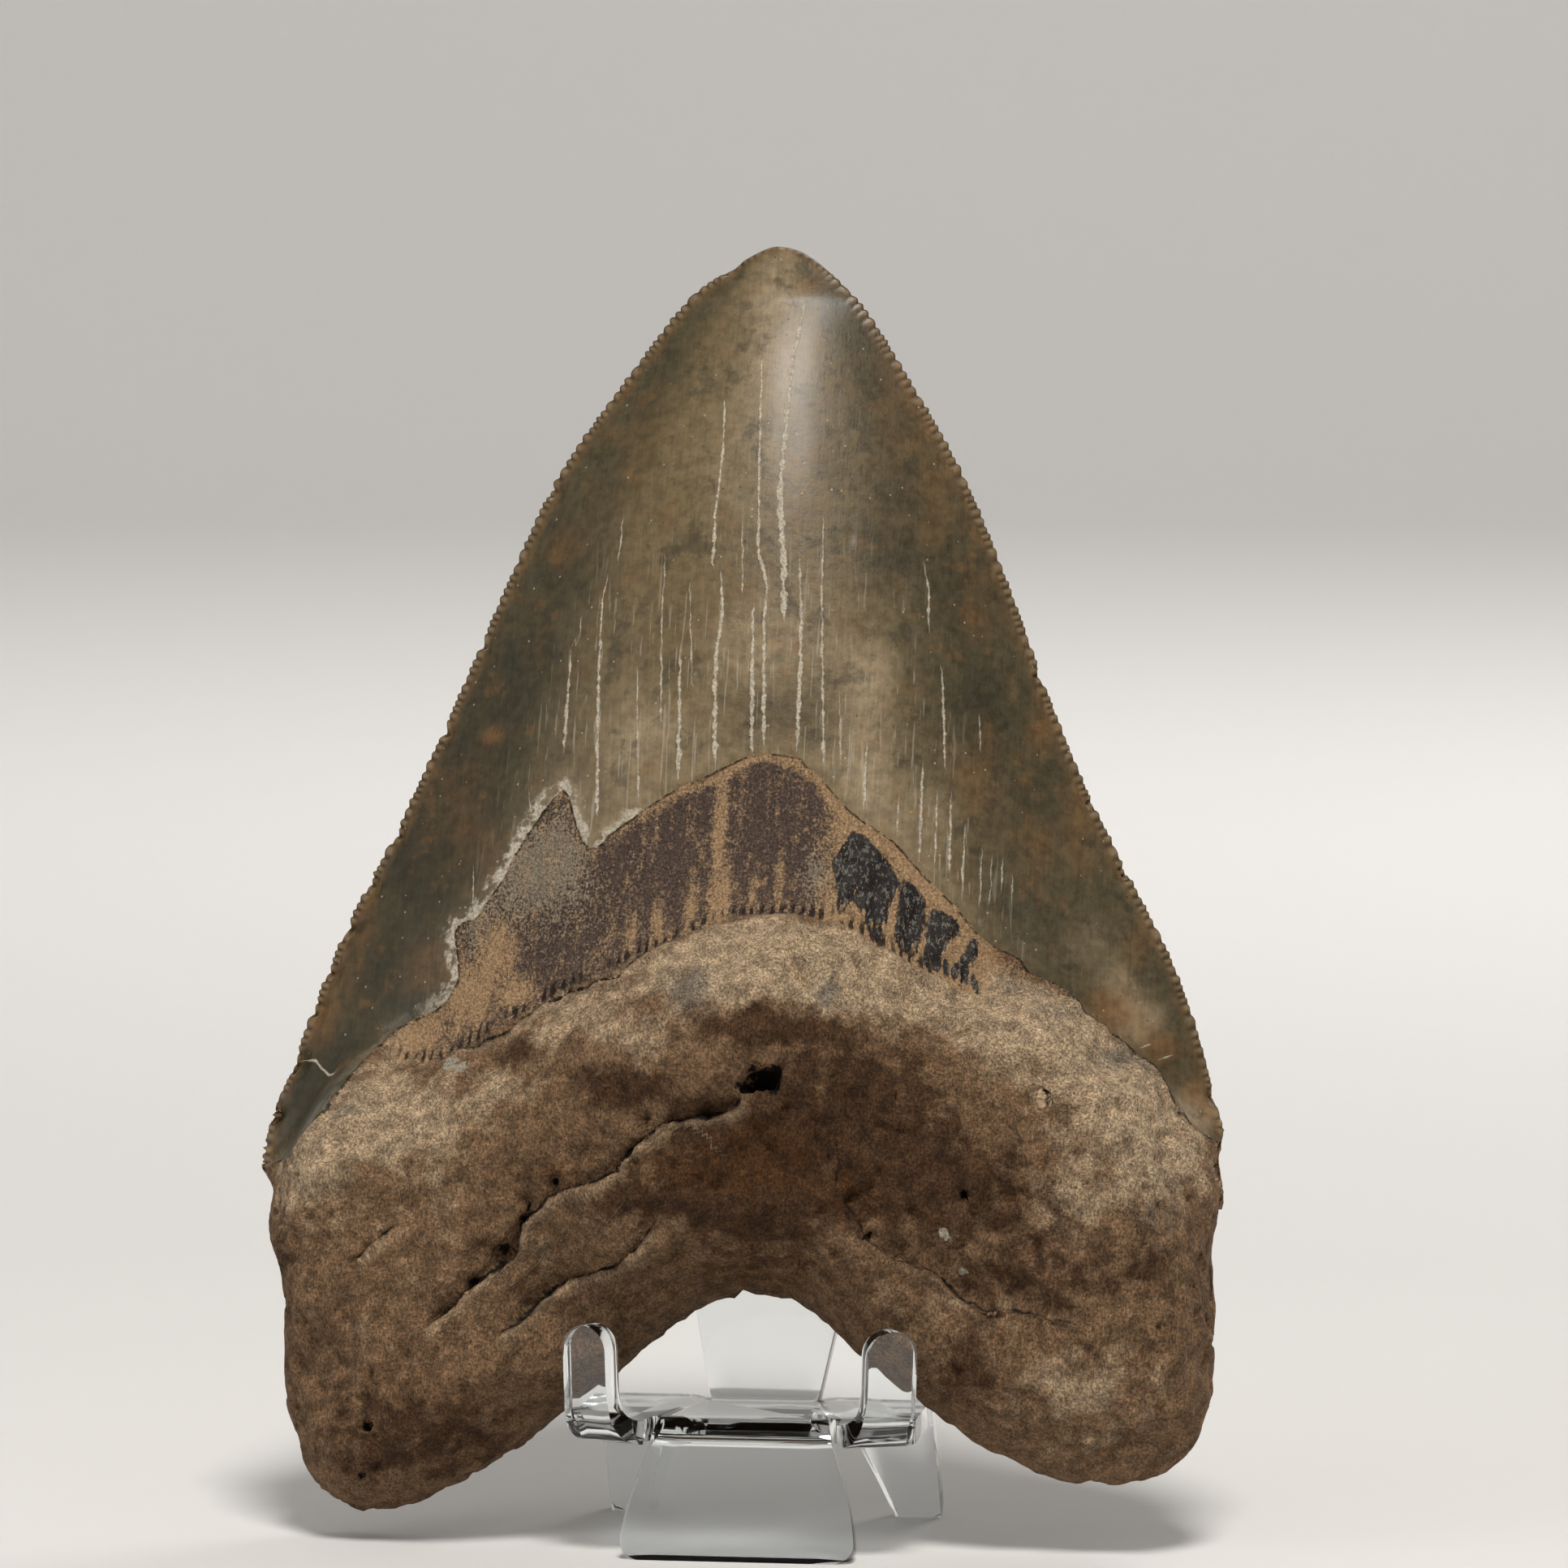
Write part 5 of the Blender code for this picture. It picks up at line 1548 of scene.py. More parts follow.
# Painted shade: near-black inside the nerve hole and the pits.
HOLE_DARK = (0.008, 0.005, 0.003)
FISSURE_SWING = 0.35
FISSURE_SOFTNESS = 0.10
BAND_GRAIN = {"size": 0.26, "fibre": 0.30}
STONE_GRAIN = {"size": 0.27, "fibre": 0.40}
STONE_PORES = {"size": 0.34, "fibre": 0.35}
ENAMEL_PITS = {"spacing": 0.85, "radius": 0.13}
ENAMEL_DOTS = {"spacing": 0.95, "radius": 0.16}
DOTS_CLOSER = (1.0, 1.0, 1.3)
ENAMEL_COAT = 0.15
CRACK_ROUGHNESS = 0.75
COAT_ROUGHNESS = 0.22
SPECULAR_LEVEL = 0.18
STONE_IOR = 1.5
# Fine relief in millimetres, too fine for the mesh.
HAIRLINE_RELIEF = 0.03
MOTTLE_RELIEF = 0.10
PIT_RELIEF = 0.05
LINE_RELIEF = 0.05
FLECK_RELIEF = 0.70
STONE_RELIEF = 0.28
PORE_RELIEF = 0.36
BAND_RELIEF = 0.16
SKIN_RELIEF = 0.03
SKIN_THICKNESS = 0.2


class FossilBench(Bench):
    """A bench that lays out the tooth's finish: it knows its stored values and the tables above."""

    def __init__(self, tree, settings):
        super().__init__(tree)
        self.settings = settings
        self.torn = broken_stain()
        self.crack = ragged_crack()
        self.grain = stone_grain()
        self.specks = specks()
        self.place = self.attribute("place").outputs["Vector"]
        self.s, self.h, _ = self.parts(self.place)
        self.enamel_gap, self.band_gap, self.margin = self.vector("edges")
        self.patch, self.rust, self.across = self.vector("marks")
        self.mottle = self.pattern("mottle")
        self.blotch = self.pattern("blotch")
        self.edge_noise = self.pattern("edge")
        self.streaks = self.pattern("streaks")
        whiteness = self.ramp("filling", self.pattern("filling"))
        self.filling = self.scale(settings.crack_white, whiteness)

    def vector(self, name):
        return self.parts(self.attribute(name).outputs["Vector"])

    def pattern(self, name):
        closer, size, detail, roughness = PATTERNS[name]
        return self.noise(self.stretch(self.place, closer), size, detail, roughness)

    def ramp(self, name, value):
        return self.rise(value, *RAMPS[name])

    def stain(self, name, value):
        size, tear, softness = STAIN_EDGES[name]
        given = {"place": self.place, "stain": value, "size": size, "tear": tear, "softness": softness}
        return self.group(self.torn, "Mask", **given)

    def lay(self, ground, masks, layers):
        """Lays colours over the ground through their masks, from the lowest."""
        for mask, colour, share in layers:
            ground = self.mix(self.times(masks[mask], share), ground, getattr(self.settings, colour))
        return ground


def enamel_finish(bench):
    """The enamel's colour and fine relief, and where its cracks are."""
    amber, cloud, pale = bench.vector("enamel_stains_and_highlights")
    place, across, margin, mottle = bench.place, bench.across, bench.margin, bench.mottle
    gap = bench.enamel_gap
    serration = bench.attribute("serration").outputs["Fac"]
    rib = bench.math("ABSOLUTE", bench.math("SINE", bench.times(serration, math.pi)))
    silk_zone = bench.times(bench.ramp("silk height", bench.h), bench.ramp("silk middle", across))
    hairlines = bench.pattern("hairlines")
    masks = {
        # The light stains carry the painted highlight at the tip and the painted sheen at the right lower
        # corner.
        "light": bench.stain("light", pale),
        "clouds": bench.stain("clouds", cloud),
        "warm": bench.stain("warm", amber),
        "amber blotch": bench.ramp("amber blotch", bench.blotch),
        "dark blotch": bench.ramp("dark blotch", bench.blotch),
        "rim": bench.stain("rim", bench.ramp("rim", margin)),
        # Painted shade in the notches between the serrations and a painted highlight on their tops.
        "notch": bench.times(bench.ramp("notch", rib), bench.ramp("notch reach", margin)),
        "serration": bench.times(bench.ramp("serration", rib), bench.ramp("serration reach", margin)),
        "low edge": bench.times(bench.ramp("low edge", gap), bench.ramp("low edge middle", across)),
        "silk": bench.times(bench.ramp("silk", bench.pattern("silk")), silk_zone),
        "pits": bench.group(bench.specks, "Mask", place=place, **ENAMEL_PITS),
        "dots": bench.group(bench.specks, "Mask", place=bench.stretch(place, DOTS_CLOSER), **ENAMEL_DOTS),
    }
    flank = bench.stain("flank", bench.ramp("flank", across))
    enamel = bench.mix(flank, bench.settings.enamel_brown, bench.settings.enamel_olive)
    enamel = bench.lay(enamel, masks, ENAMEL_CLOUDS)
    shade = bench.plus(bench.ramp("hairline shade", hairlines), bench.ramp("mottle shade", mottle))
    enamel = bench.lay(bench.scale(enamel, shade), masks, ENAMEL_MARKS)
    cracks = [bench.attribute(name).outputs["Vector"] for name in ("cracks_a", "cracks_b")]
    line_a, line_b = (bench.group(bench.crack, "Mask", place=place, crack=near) for near in cracks)
    lines = bench.math("MAXIMUM", line_a, line_b)
    enamel = bench.mix(bench.times(lines, LINE_SHARE), enamel, bench.filling)
    enamel = bench.mix(white_lip(bench), enamel, bench.filling)
    height = bench.plus(bench.times(hairlines, HAIRLINE_RELIEF), bench.times(mottle, MOTTLE_RELIEF))
    height = bench.math("SUBTRACT", height, bench.times(masks["pits"], PIT_RELIEF))
    return enamel, bench.plus(height, bench.times(lines, LINE_RELIEF)), lines


def white_lip(bench):
    """The enamel's bleached edge left of the notch, of uneven width."""
    reach = bench.plus(bench.enamel_gap, bench.swing(bench.mottle, LIP_SWING))
    thin = bench.plus(bench.ramp("lip width", bench.edge_noise), bench.ramp("lip at the notch", bench.s))
    end = bench.plus(bench.s, bench.times(bench.edge_noise, LIP_END_SWING))
    lip = bench.times(bench.ramp("lip", bench.plus(reach, thin)), bench.ramp("lip end", end))
    return bench.times(lip, bench.ramp("lip at the corner", bench.s))


def band_finish(bench, grain):
    """The dark band's colour, and the wave of the small notches along its lower edge."""
    own_tan, own_grey, _ = bench.vector("band_stains")
    settings = bench.settings
    under = bench.times(
        bench.ramp("under the enamel", bench.enamel_gap), bench.ramp("under the enamel, right", bench.s)
    )
    speck = bench.swing(grain, SPECK_SWING)
    tan = bench.plus(
        bench.ramp("streaks", bench.streaks),
        bench.times(bench.ramp("low band", bench.band_gap), LOW_BAND_TAN),
        bench.times(own_tan, BAND_TAN_SHARE),
        under,
        bench.times(bench.ramp("right of the band", bench.s), RIGHT_TAN),
        bench.times(speck, TAN_SPECKS),
    )
    grey = bench.stain("band grey", bench.plus(own_grey, speck))
    band = bench.mix(grey, settings.band_dark, settings.band_grey)
    band = bench.mix(bench.stain("band tan", tan), band, settings.band_tan)
    wave = bench.plus(bench.s, bench.times(bench.streaks, NOTCH_SWING))
    wave = bench.math("SINE", bench.times(wave, NOTCHES))
    zone = bench.times(bench.ramp("band edge", bench.band_gap), bench.ramp("notch height", bench.band_gap))
    notches = bench.times(bench.ramp("notch wave", wave), zone, bench.ramp("worn notches", bench.blotch))
    band = bench.mix(bench.times(notches, NOTCH_SHARE), band, settings.skin_black)
    return bench.scale(band, bench.ramp("band grain", grain)), wave


def skin_mask(bench, wave):
    """Where the band's black skin is left, and how worn it is."""
    slits = bench.times(bench.ramp("slit", wave), bench.ramp("slit height", bench.band_gap))
    edge = bench.plus(bench.patch, bench.swing(bench.pattern("ragged skin"), SKIN_SWING))
    skin = bench.ramp("skin", bench.math("SUBTRACT", edge, slits))
    wear = bench.pattern("skin wear")
    return bench.times(skin, bench.ramp("skin wear", wear)), wear


def root_finish(bench):
    """The root's colour and fine relief."""
    dark, tan, blue = bench.vector("root_stains")
    fissures = bench.attribute("fissures").outputs["Vector"]
    gap, width, pit = bench.parts(fissures)
    settings, place = bench.settings, bench.place
    # Painted highlight along the fissures' raised lips.
    lip = bench.times(bench.ramp("fissure lip start", gap), bench.ramp("fissure lip end", gap))
    masks = {
        "root pale": bench.stain("root pale", tan),
        "root dark": bench.stain("root dark", dark),
        "root rust": bench.stain("root rust", bench.rust),
        "root blue": bench.stain("root blue", blue),
        "fissure lip": bench.times(lip, bench.ramp("fissure lip", width)),
    }
    root = bench.lay(settings.root_brown, masks, ROOT_STAINS_AND_LIP_HIGHLIGHT)
    stone = bench.group(bench.grain, "Grain", place=place, **STONE_GRAIN)
    pores = bench.group(bench.grain, "Pores", place=place, **STONE_PORES)
    fleck = bench.pattern("fleck")
    root = bench.scale(root, bench.times(bench.ramp("stone", stone), bench.ramp("fleck", fleck)))
    root = bench.mix(bench.times(pores, PORE_SHARE), root, settings.root_dark)
    # Painted shade: a near-black ragged line inside each fissure, broken here and there.
    given = {"place": place, "crack": fissures, "wander": FISSURE_SWING, "soft": FISSURE_SOFTNESS}
    line = bench.group(bench.crack, "Mask", **given)
    root = bench.mix(bench.times(line, bench.ramp("broken fissure", bench.mottle)), root, FISSURE_DARK)
    # Painted shade: near-black inside the nerve hole and the pits, with a torn rim.
    torn_rim = bench.swing(bench.pattern("torn hole"), HOLE_SWING_FINE)
    rim = bench.plus(pit, torn_rim, bench.swing(bench.mottle, HOLE_SWING))
    root = bench.mix(bench.ramp("hole", rim), root, HOLE_DARK)
    crumbs = bench.plus(bench.attribute("crumbs").outputs["Fac"], bench.swing(bench.mottle, CRUMB_SWING))
    root = bench.mix(bench.ramp("crumb", crumbs), root, bench.filling)
    height = bench.plus(bench.times(fleck, FLECK_RELIEF), bench.times(stone, STONE_RELIEF))
    return root, bench.math("SUBTRACT", height, bench.times(pores, PORE_RELIEF))


def fossil_material(settings):
    """Satin enamel with pale cracks, the dark band with its black skin, and the porous brown root."""
    mat = bpy.data.materials.new("fossil enamel, band and root")
    mat.use_nodes = True
    bench = FossilBench(mat.node_tree, settings)
    shader = mat.node_tree.nodes["Principled BSDF"]
    grain = bench.group(bench.grain, "Grain", place=bench.place, **BAND_GRAIN)
    enamel, enamel_height, lines = enamel_finish(bench)
    band, wave = band_finish(bench, grain)
    skin, wear = skin_mask(bench, wave)
    root, root_height = root_finish(bench)

    # Where each finish ends
    enamel_reach = bench.plus(bench.enamel_gap, bench.swing(bench.pattern("enamel end"), ENAMEL_SWING))
    enamel_mask = bench.ramp("enamel", enamel_reach)
    band_reach = bench.plus(bench.band_gap, bench.swing(bench.streaks, BAND_SWING))
    band_ends = bench.plus(bench.s, bench.times(bench.edge_noise, BAND_END_SWING))
    band_mask = bench.times(
        bench.ramp("band", band_reach), bench.ramp("band start", band_ends), bench.ramp("band end", band_ends)
    )

    # Painted glints: paler blue-grey speckles on the black skin stand in for its highlights.
    glint = bench.ramp("glint", bench.pattern("glint"))
    body = bench.mix(band_mask, root, band)
    body = bench.mix(skin, body, bench.mix(glint, settings.skin_black, settings.root_blue))
    # Painted shadow: a thin dark line under the enamel's step, on the band's side.
    undercut_shadow = bench.times(
        bench.ramp("undercut_shadow", bench.enamel_gap), bench.ramp("broken undercut", bench.mottle), UNDERCUT_SHADOW_SHARE
    )
    body = bench.mix(undercut_shadow, body, FISSURE_DARK)
    bench.feed(shader.inputs["Base Color"], bench.mix(enamel_mask, body, enamel))

    enamel_rough = bench.between(lines, bench.ramp("enamel roughness", bench.mottle), CRACK_ROUGHNESS)
    body_rough = bench.between(skin, bench.ramp("body roughness", grain), bench.ramp("skin roughness", wear))
    bench.feed(shader.inputs["Roughness"], bench.between(enamel_mask, body_rough, enamel_rough))
    bench.feed(shader.inputs["Coat Weight"], bench.times(enamel_mask, bench.between(lines, ENAMEL_COAT, 0.0)))
    shader.inputs["Coat Roughness"].default_value = COAT_ROUGHNESS
    shader.inputs["Specular IOR Level"].default_value = SPECULAR_LEVEL
    shader.inputs["IOR"].default_value = STONE_IOR

    body_height = bench.between(band_mask, root_height, bench.times(grain, BAND_RELIEF))
    skin_height = bench.plus(bench.times(grain, SKIN_RELIEF), SKIN_THICKNESS)
    body_height = bench.between(skin, body_height, skin_height)
    bump = bench.node("ShaderNodeBump")
    bump.inputs["Strength"].default_value = 1.0
    bump.inputs["Distance"].default_value = MM
    bench.feed(bump.inputs["Height"], bench.between(enamel_mask, body_height, enamel_height))
    bench.feed(shader.inputs["Normal"], bump.outputs[0])
    return mat


class TOOTH_OT_fossil(bpy.types.Operator):
    """Builds the fossil tooth: its crown with serrated edges, its band and its rough root"""

    bl_idname = "tooth.fossil"
    bl_label = "Fossil Tooth"

    def execute(self, context):
        settings = context.scene.fossil_tooth
        faces = []
        for name, rows, band_rows, root_weight, face in (
            ("tongue_face", FRONT_ROWS, FRONT_BAND_ROWS, FRONT_ROOT_ROWS, front_face),
            ("lip_face", BACK_ROWS, BACK_BAND_ROWS, BACK_ROOT_ROWS, back_face),
        ):
            grid, across, row = stretched_grid(name, rows, band_rows, root_weight)
            shape_face(grid, across, row, rows, band_rows, root_weight, face, settings)
            faces.append(grid)
        select_only(faces)
        bpy.ops.object.join()
        tooth = context.object
        tooth.name = "fossil_tooth"
        bpy.ops.object.mode_set(mode="EDIT")
        bpy.ops.mesh.select_all(action="SELECT")
        bpy.ops.mesh.remove_doubles(threshold=TOOTH_MERGE)
        bpy.ops.mesh.normals_make_consistent(inside=False)
        bpy.ops.object.mode_set(mode="OBJECT")
        bpy.ops.object.shade_smooth()
        describe_surface(tooth.data)
        roughen(tooth.data, settings)
        tooth.data.materials.clear()
        tooth.data.materials.append(fossil_material(settings))
        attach(tooth, "root")
        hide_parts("tooth")
        return {"FINISHED"}


# The stand


def rounded_end(distance, radius):
    """How much narrower a strip is at this distance from its end, for a round corner of this radius."""
    t = 1.0 - min(max(distance / radius, 0.0), 1.0)
    return radius * (1.0 - math.sqrt(1.0 - t * t))


def bent_path(start, angle, length, upward, radius):
    """Arc lengths and forward and up positions of a strip that leaves the ledge, bends and runs straight."""
    sign = 1.0 if upward else -1.0
    turn = np.linspace(0.0, angle, BEND_STEPS + 1)
    forward = start + radius * np.sin(turn)
    up = sign * radius * (1.0 - np.cos(turn))
    run = (1.0 - (1.0 - np.linspace(0.0, 1.0, RUN_STEPS + 1)[1:]) ** RUN_POWER) * length
    forward = np.concatenate([forward, forward[-1] + run * math.cos(angle)])
    up = np.concatenate([up, up[-1] + sign * run * math.sin(angle)])
    return np.concatenate([radius * turn, radius * angle + run]), forward, up


def sheet_strip(name, path, edges, place, across, middle_height):
    """The middle surface of one arm, as a grid whose rows follow the path between its two side edges."""
    arc, forward, up = path
    deselect_all()
    bpy.ops.mesh.primitive_grid_add(x_subdivisions=across, y_subdivisions=len(arc) - 1, size=2.0)
    strip = bpy.context.object
    strip.name = name
    flat = vertex_places(strip.data)
    rows = np.rint((flat[:, 1] * 0.5 + 0.5) * (len(arc) - 1)).astype(int)
    places = []
    for row, t in zip(rows, flat[:, 0] * 0.5 + 0.5):
        low, high = edges(arc[row], arc[-1])
        x, y = place(low + (high - low) * t, forward[row])
        places.append((x + STAND_MIDDLE[0], y + STAND_MIDDLE[1], middle_height + up[row]))
    place_vertices(strip.data, np.array(places) * MM)
    return strip


def tongue_edges(arc, total):
    left = total - FOOT_EXTRA - arc
    t = min(max(arc / (total - FOOT_EXTRA), 0.0), 1.0)
    wider = math.sin(0.5 * math.pi * t) ** TONGUE_POWER
    half = TONGUE_TOP_HALF + (TONGUE_FOOT_HALF - TONGUE_TOP_HALF) * wider
    half -= rounded_end(max(left + FOOT_CORNER_SHIFT, 0.0), FOOT_CORNER)
    return -half, half


def hook_edges(arc, total):
    """A hook narrows from its flare into the ledge, splays outward a little and ends in a half circle."""
    splay = HOOK_SPLAY * arc / total
    flare = HOOK_FLARE * max(1.0 - (arc + 1.0) / HOOK_FLARE_RUN, 0.0) ** 2
    end = rounded_end(total - arc, HOOK_HALF)
    return -(HOOK_HALF + HOOK_OFFSET + flare - splay - end), HOOK_HALF - HOOK_OFFSET + splay - end


def backrest_edges(arc, total):
    half = BACKREST_HALF + BACKREST_FLARE * arc - rounded_end(total - arc, BACKREST_CORNER)
    return -half, half


def leg_edges(arc, total):
    t = min(max(arc / (total - LEG_EXTRA), 0.0), 1.0)
    inner = LEG_INNER_TOP + (LEG_INNER_FOOT - LEG_INNER_TOP) * t**LEG_POWER
    return inner, LEG_OUTER - rounded_end(max(total - LEG_CORNER - arc, 0.0), LEG_CORNER)


def hook_place(hand, radius):
    start_x = HOOK_CENTRE[0] - radius * math.sin(HOOK_TURN)
    start_y = HOOK_CENTRE[1] + radius * math.cos(HOOK_TURN)

    def place(side, forward):
        x = start_x + forward * math.sin(HOOK_TURN) + side * math.cos(HOOK_TURN)
        y = start_y - forward * math.cos(HOOK_TURN) + side * math.sin(HOOK_TURN)
        return hand * x, y

    return place


def row_points(edges, place, start, across, total):
    """The points of an arm's first row, which the ledge shares."""
    low, high = edges(0.0, total)
    return [place(low + (high - low) * k / across, start) for k in range(across + 1)]


class TOOTH_OT_stand(bpy.types.Operator):
    """Builds the clear stand from one bent sheet: ledge, front foot, two hooks, backrest and two rear legs"""

    bl_idname = "tooth.stand"
    bl_label = "Clear Stand"

    def execute(self, context):
        settings = context.scene.tooth_stand
        sheet = settings.sheet / MM
        radius = settings.bend_radius / MM
        middle = LEDGE_TOP - sheet / 2

        def drop_length(angle):
            return (middle - radius * (1.0 - math.cos(angle))) / math.sin(angle)

        def forward_y(side, forward):
            return side, forward

        def backward_y(side, forward):
            return side, -forward

        def mirrored_forward(side, forward):
            return -side, forward

        tongue = bent_path(TONGUE_START, TONGUE_BEND, drop_length(TONGUE_BEND) + FOOT_EXTRA, False, radius)
        hook = bent_path(0.0, HOOK_BEND, HOOK_RISE + sheet / 2, True, radius)
        backrest = bent_path(BACKREST_START, BACKREST_BEND, BACKREST_LENGTH, True, radius)
        leg = bent_path(LEG_START, LEG_BEND, drop_length(LEG_BEND) + LEG_EXTRA, False, radius)
        arms = (
            ("tongue", tongue, tongue_edges, backward_y, TONGUE_COLUMNS),
            ("hook_right", hook, hook_edges, hook_place(1.0, radius), HOOK_COLUMNS),
            ("hook_left", hook, hook_edges, hook_place(-1.0, radius), HOOK_COLUMNS),
            ("backrest", backrest, backrest_edges, forward_y, BACKREST_COLUMNS),
            ("leg_right", leg, leg_edges, forward_y, LEG_COLUMNS),
            ("leg_left", leg, leg_edges, mirrored_forward, LEG_COLUMNS),
        )
        strips = [sheet_strip(*arm, middle) for arm in arms]
        first_rows = {}
        for name, path, edges, place, across in arms:
            first_rows[name] = row_points(edges, place, path[1][0], across, path[0][-1])
        half = first_rows["tongue"][len(first_rows["tongue"]) // 2 :]
        half += [tuple(p) for p in smooth_line(LEDGE_CORNER_FRONT + (first_rows["hook_right"][0],), 3)[1:-1]]
        half += first_rows["hook_right"]
        half += [tuple(p) for p in smooth_line((first_rows["hook_right"][-1],) + LEDGE_CORNER_SIDE, 3)[1:]]
        half += first_rows["leg_right"][::-1]
        corner = (first_rows["leg_right"][0],) + LEDGE_CORNER_BACK + (first_rows["backrest"][-1],)
        half += [tuple(p) for p in smooth_line(corner, 3)[1:-1]]
        half += first_rows["backrest"][len(first_rows["backrest"]) // 2 :][::-1]
        outline = half + [(-x, y) for x, y in half[-2:0:-1]]

        deselect_all()
        bpy.ops.mesh.primitive_circle_add(vertices=len(outline), radius=MM, fill_type="NGON")
        ledge = context.object
        places = [(x + STAND_MIDDLE[0], y + STAND_MIDDLE[1], middle) for x, y in outline]
        place_vertices(ledge.data, np.array(places) * MM)
        select_only([ledge] + strips)
        bpy.ops.object.join()
        stand = context.object
        stand.name = "clear_stand"
        bpy.ops.object.mode_set(mode="EDIT")
        bpy.ops.mesh.select_all(action="SELECT")
        bpy.ops.mesh.remove_doubles(threshold=STAND_MERGE)
        bpy.ops.mesh.normals_make_consistent(inside=False)
        bpy.ops.object.mode_set(mode="OBJECT")
        thick = stand.modifiers.new("sheet thickness", "SOLIDIFY")
        thick.thickness = settings.sheet
        thick.offset = 0.0
        thick.use_even_offset = True
        bpy.ops.object.modifier_apply(modifier=thick.name)
        bpy.ops.object.mode_set(mode="EDIT")
        bpy.ops.mesh.select_all(action="SELECT")
        table = {"plane_co": (0.0, 0.0, 0.0), "plane_no": (0.0, 0.0, 1.0)}
        bpy.ops.mesh.bisect(**table, use_fill=True, clear_inner=True)
        bpy.ops.mesh.select_all(action="SELECT")
        bpy.ops.mesh.normals_make_consistent(inside=False)
        bpy.ops.object.mode_set(mode="OBJECT")
        edge = stand.modifiers.new("polished edges", "BEVEL")
        edge.width = settings.polished_edge
        edge.segments = EDGE_SEGMENTS
        edge.limit_method = "ANGLE"
        edge.angle_limit = EDGE_ANGLE
        bpy.ops.object.modifier_apply(modifier=edge.name)
        places = vertex_places(stand.data)
        places[:, 2] = np.maximum(places[:, 2], 0.0)
        place_vertices(stand.data, places)
        bpy.ops.object.shade_smooth_by_angle(angle=STAND_SMOOTH)
        stand.data.materials.clear()
        stand.data.materials.append(clear_sheet_material(settings))
        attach(stand, "root")
        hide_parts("stand")
        return {"FINISHED"}


# The clear sheet's finish. Noise as size in metres, detail and roughness; relief in millimetres.
SHEET_IOR = 1.49
HAZE_NOISE = (0.006, 3.0, 0.6)
HAZE_ROUGHNESS = (0.35, 0.75, 0.015, 0.06)
RIPPLE_NOISE = (0.012, 2.0, 0.4)
RIPPLE_RELIEF = 0.05
SCRATCH_STRETCH = (1.0, 8.0, 8.0)
SCRATCH_NOISE = (0.0035, 4.0, 0.75)
SCRATCH_RISE = (0.66, 0.72)
SCRATCH_RELIEF = 0.004
SHEET_BUMP = 0.6


def clear_sheet_material(settings):
    """Clear cast plastic with a faint haze and a few hairline scratches."""
    mat = bpy.data.materials.new("clear cast sheet")
    mat.use_nodes = True
    bench = Bench(mat.node_tree)
    shader = mat.node_tree.nodes["Principled BSDF"]
    shader.inputs["Base Color"].default_value = (*settings.tint, 1.0)
    shader.inputs["Transmission Weight"].default_value = 1.0
    shader.inputs["IOR"].default_value = SHEET_IOR
    where = bench.node("ShaderNodeTexCoord").outputs["Object"]
    haze = bench.noise(where, *HAZE_NOISE)
    bench.feed(shader.inputs["Roughness"], bench.rise(haze, *HAZE_ROUGHNESS))
    ripple = bench.noise(where, *RIPPLE_NOISE)
    scratches = bench.noise(bench.stretch(where, SCRATCH_STRETCH), *SCRATCH_NOISE)
    scratched = bench.times(bench.rise(scratches, *SCRATCH_RISE), SCRATCH_RELIEF)
    height = bench.plus(bench.times(ripple, RIPPLE_RELIEF), scratched)
    bump = bench.node("ShaderNodeBump")
    bump.inputs["Strength"].default_value = SHEET_BUMP
    bump.inputs["Distance"].default_value = MM
    bench.feed(bump.inputs["Height"], height)
    bench.feed(shader.inputs["Normal"], bump.outputs[0])
    return mat


# Stage


FLOOR_RADIUS = 1.7
FLOOR_SIDES = 96
SWEEP_RADIUS = 0.6
SWEEP_STEPS = 12
WALL_RISE = 1.2
FLOOR_SMOOTH = math.radians(30.0)
PAPER_NOISE = (0.004, 4.0, 0.6)
PAPER_SHADE = 0.985
PAPER_ROUGHNESS = 0.75
# Soft lights: where each hangs and aims in metres, its size, and its colour.
LIT_MIDDLE = (0.0, 0.0, 0.07)
KEY_LIGHT = ("key", (0.16, -0.52, 1.22), LIT_MIDDLE, 0.38, (1.0, 0.97, 0.93))
FILL_LIGHT = ("fill", (-0.9, -0.6, 0.45), LIT_MIDDLE, 0.7, (0.98, 0.98, 1.0))
BACK_LIGHT = ("back", (0.5, 0.95, 0.8), LIT_MIDDLE, 0.6, (1.0, 1.0, 1.0))
WALL_LIGHT = ("wall", (0.0, 0.7, 1.1), (0.0, 2.3, 0.35), 1.2, (1.0, 1.0, 1.0))
BACK_SHARE = 1.6
CLIP_START = 0.01
CLIP_END = 20.0


def stage_material(settings):
    mat = bpy.data.materials.new("pale paper floor")
    mat.use_nodes = True
    bench = Bench(mat.node_tree)
    shader = mat.node_tree.nodes["Principled BSDF"]
    where = bench.node("ShaderNodeTexCoord").outputs["Object"]
    paper = bench.noise(where, *PAPER_NOISE)
    darker = tuple(c * PAPER_SHADE for c in settings.floor_colour)
    bench.feed(shader.inputs["Base Color"], bench.mix(paper, darker, tuple(settings.floor_colour)))
    shader.inputs["Roughness"].default_value = PAPER_ROUGHNESS
    return mat


def soft_light(name, place, target, size, shade, power):
    data = bpy.data.lights.new(name, "AREA")
    data.shape = "DISK"
    data.size = size
    data.energy = power
    data.color = shade
    light = bpy.data.objects.new(name, data)
    bpy.context.scene.collection.objects.link(light)
    direction = Vector(target) - Vector(place)
    light.matrix_world = Matrix.Translation(place) @ direction.to_track_quat("-Z", "Y").to_matrix().to_4x4()


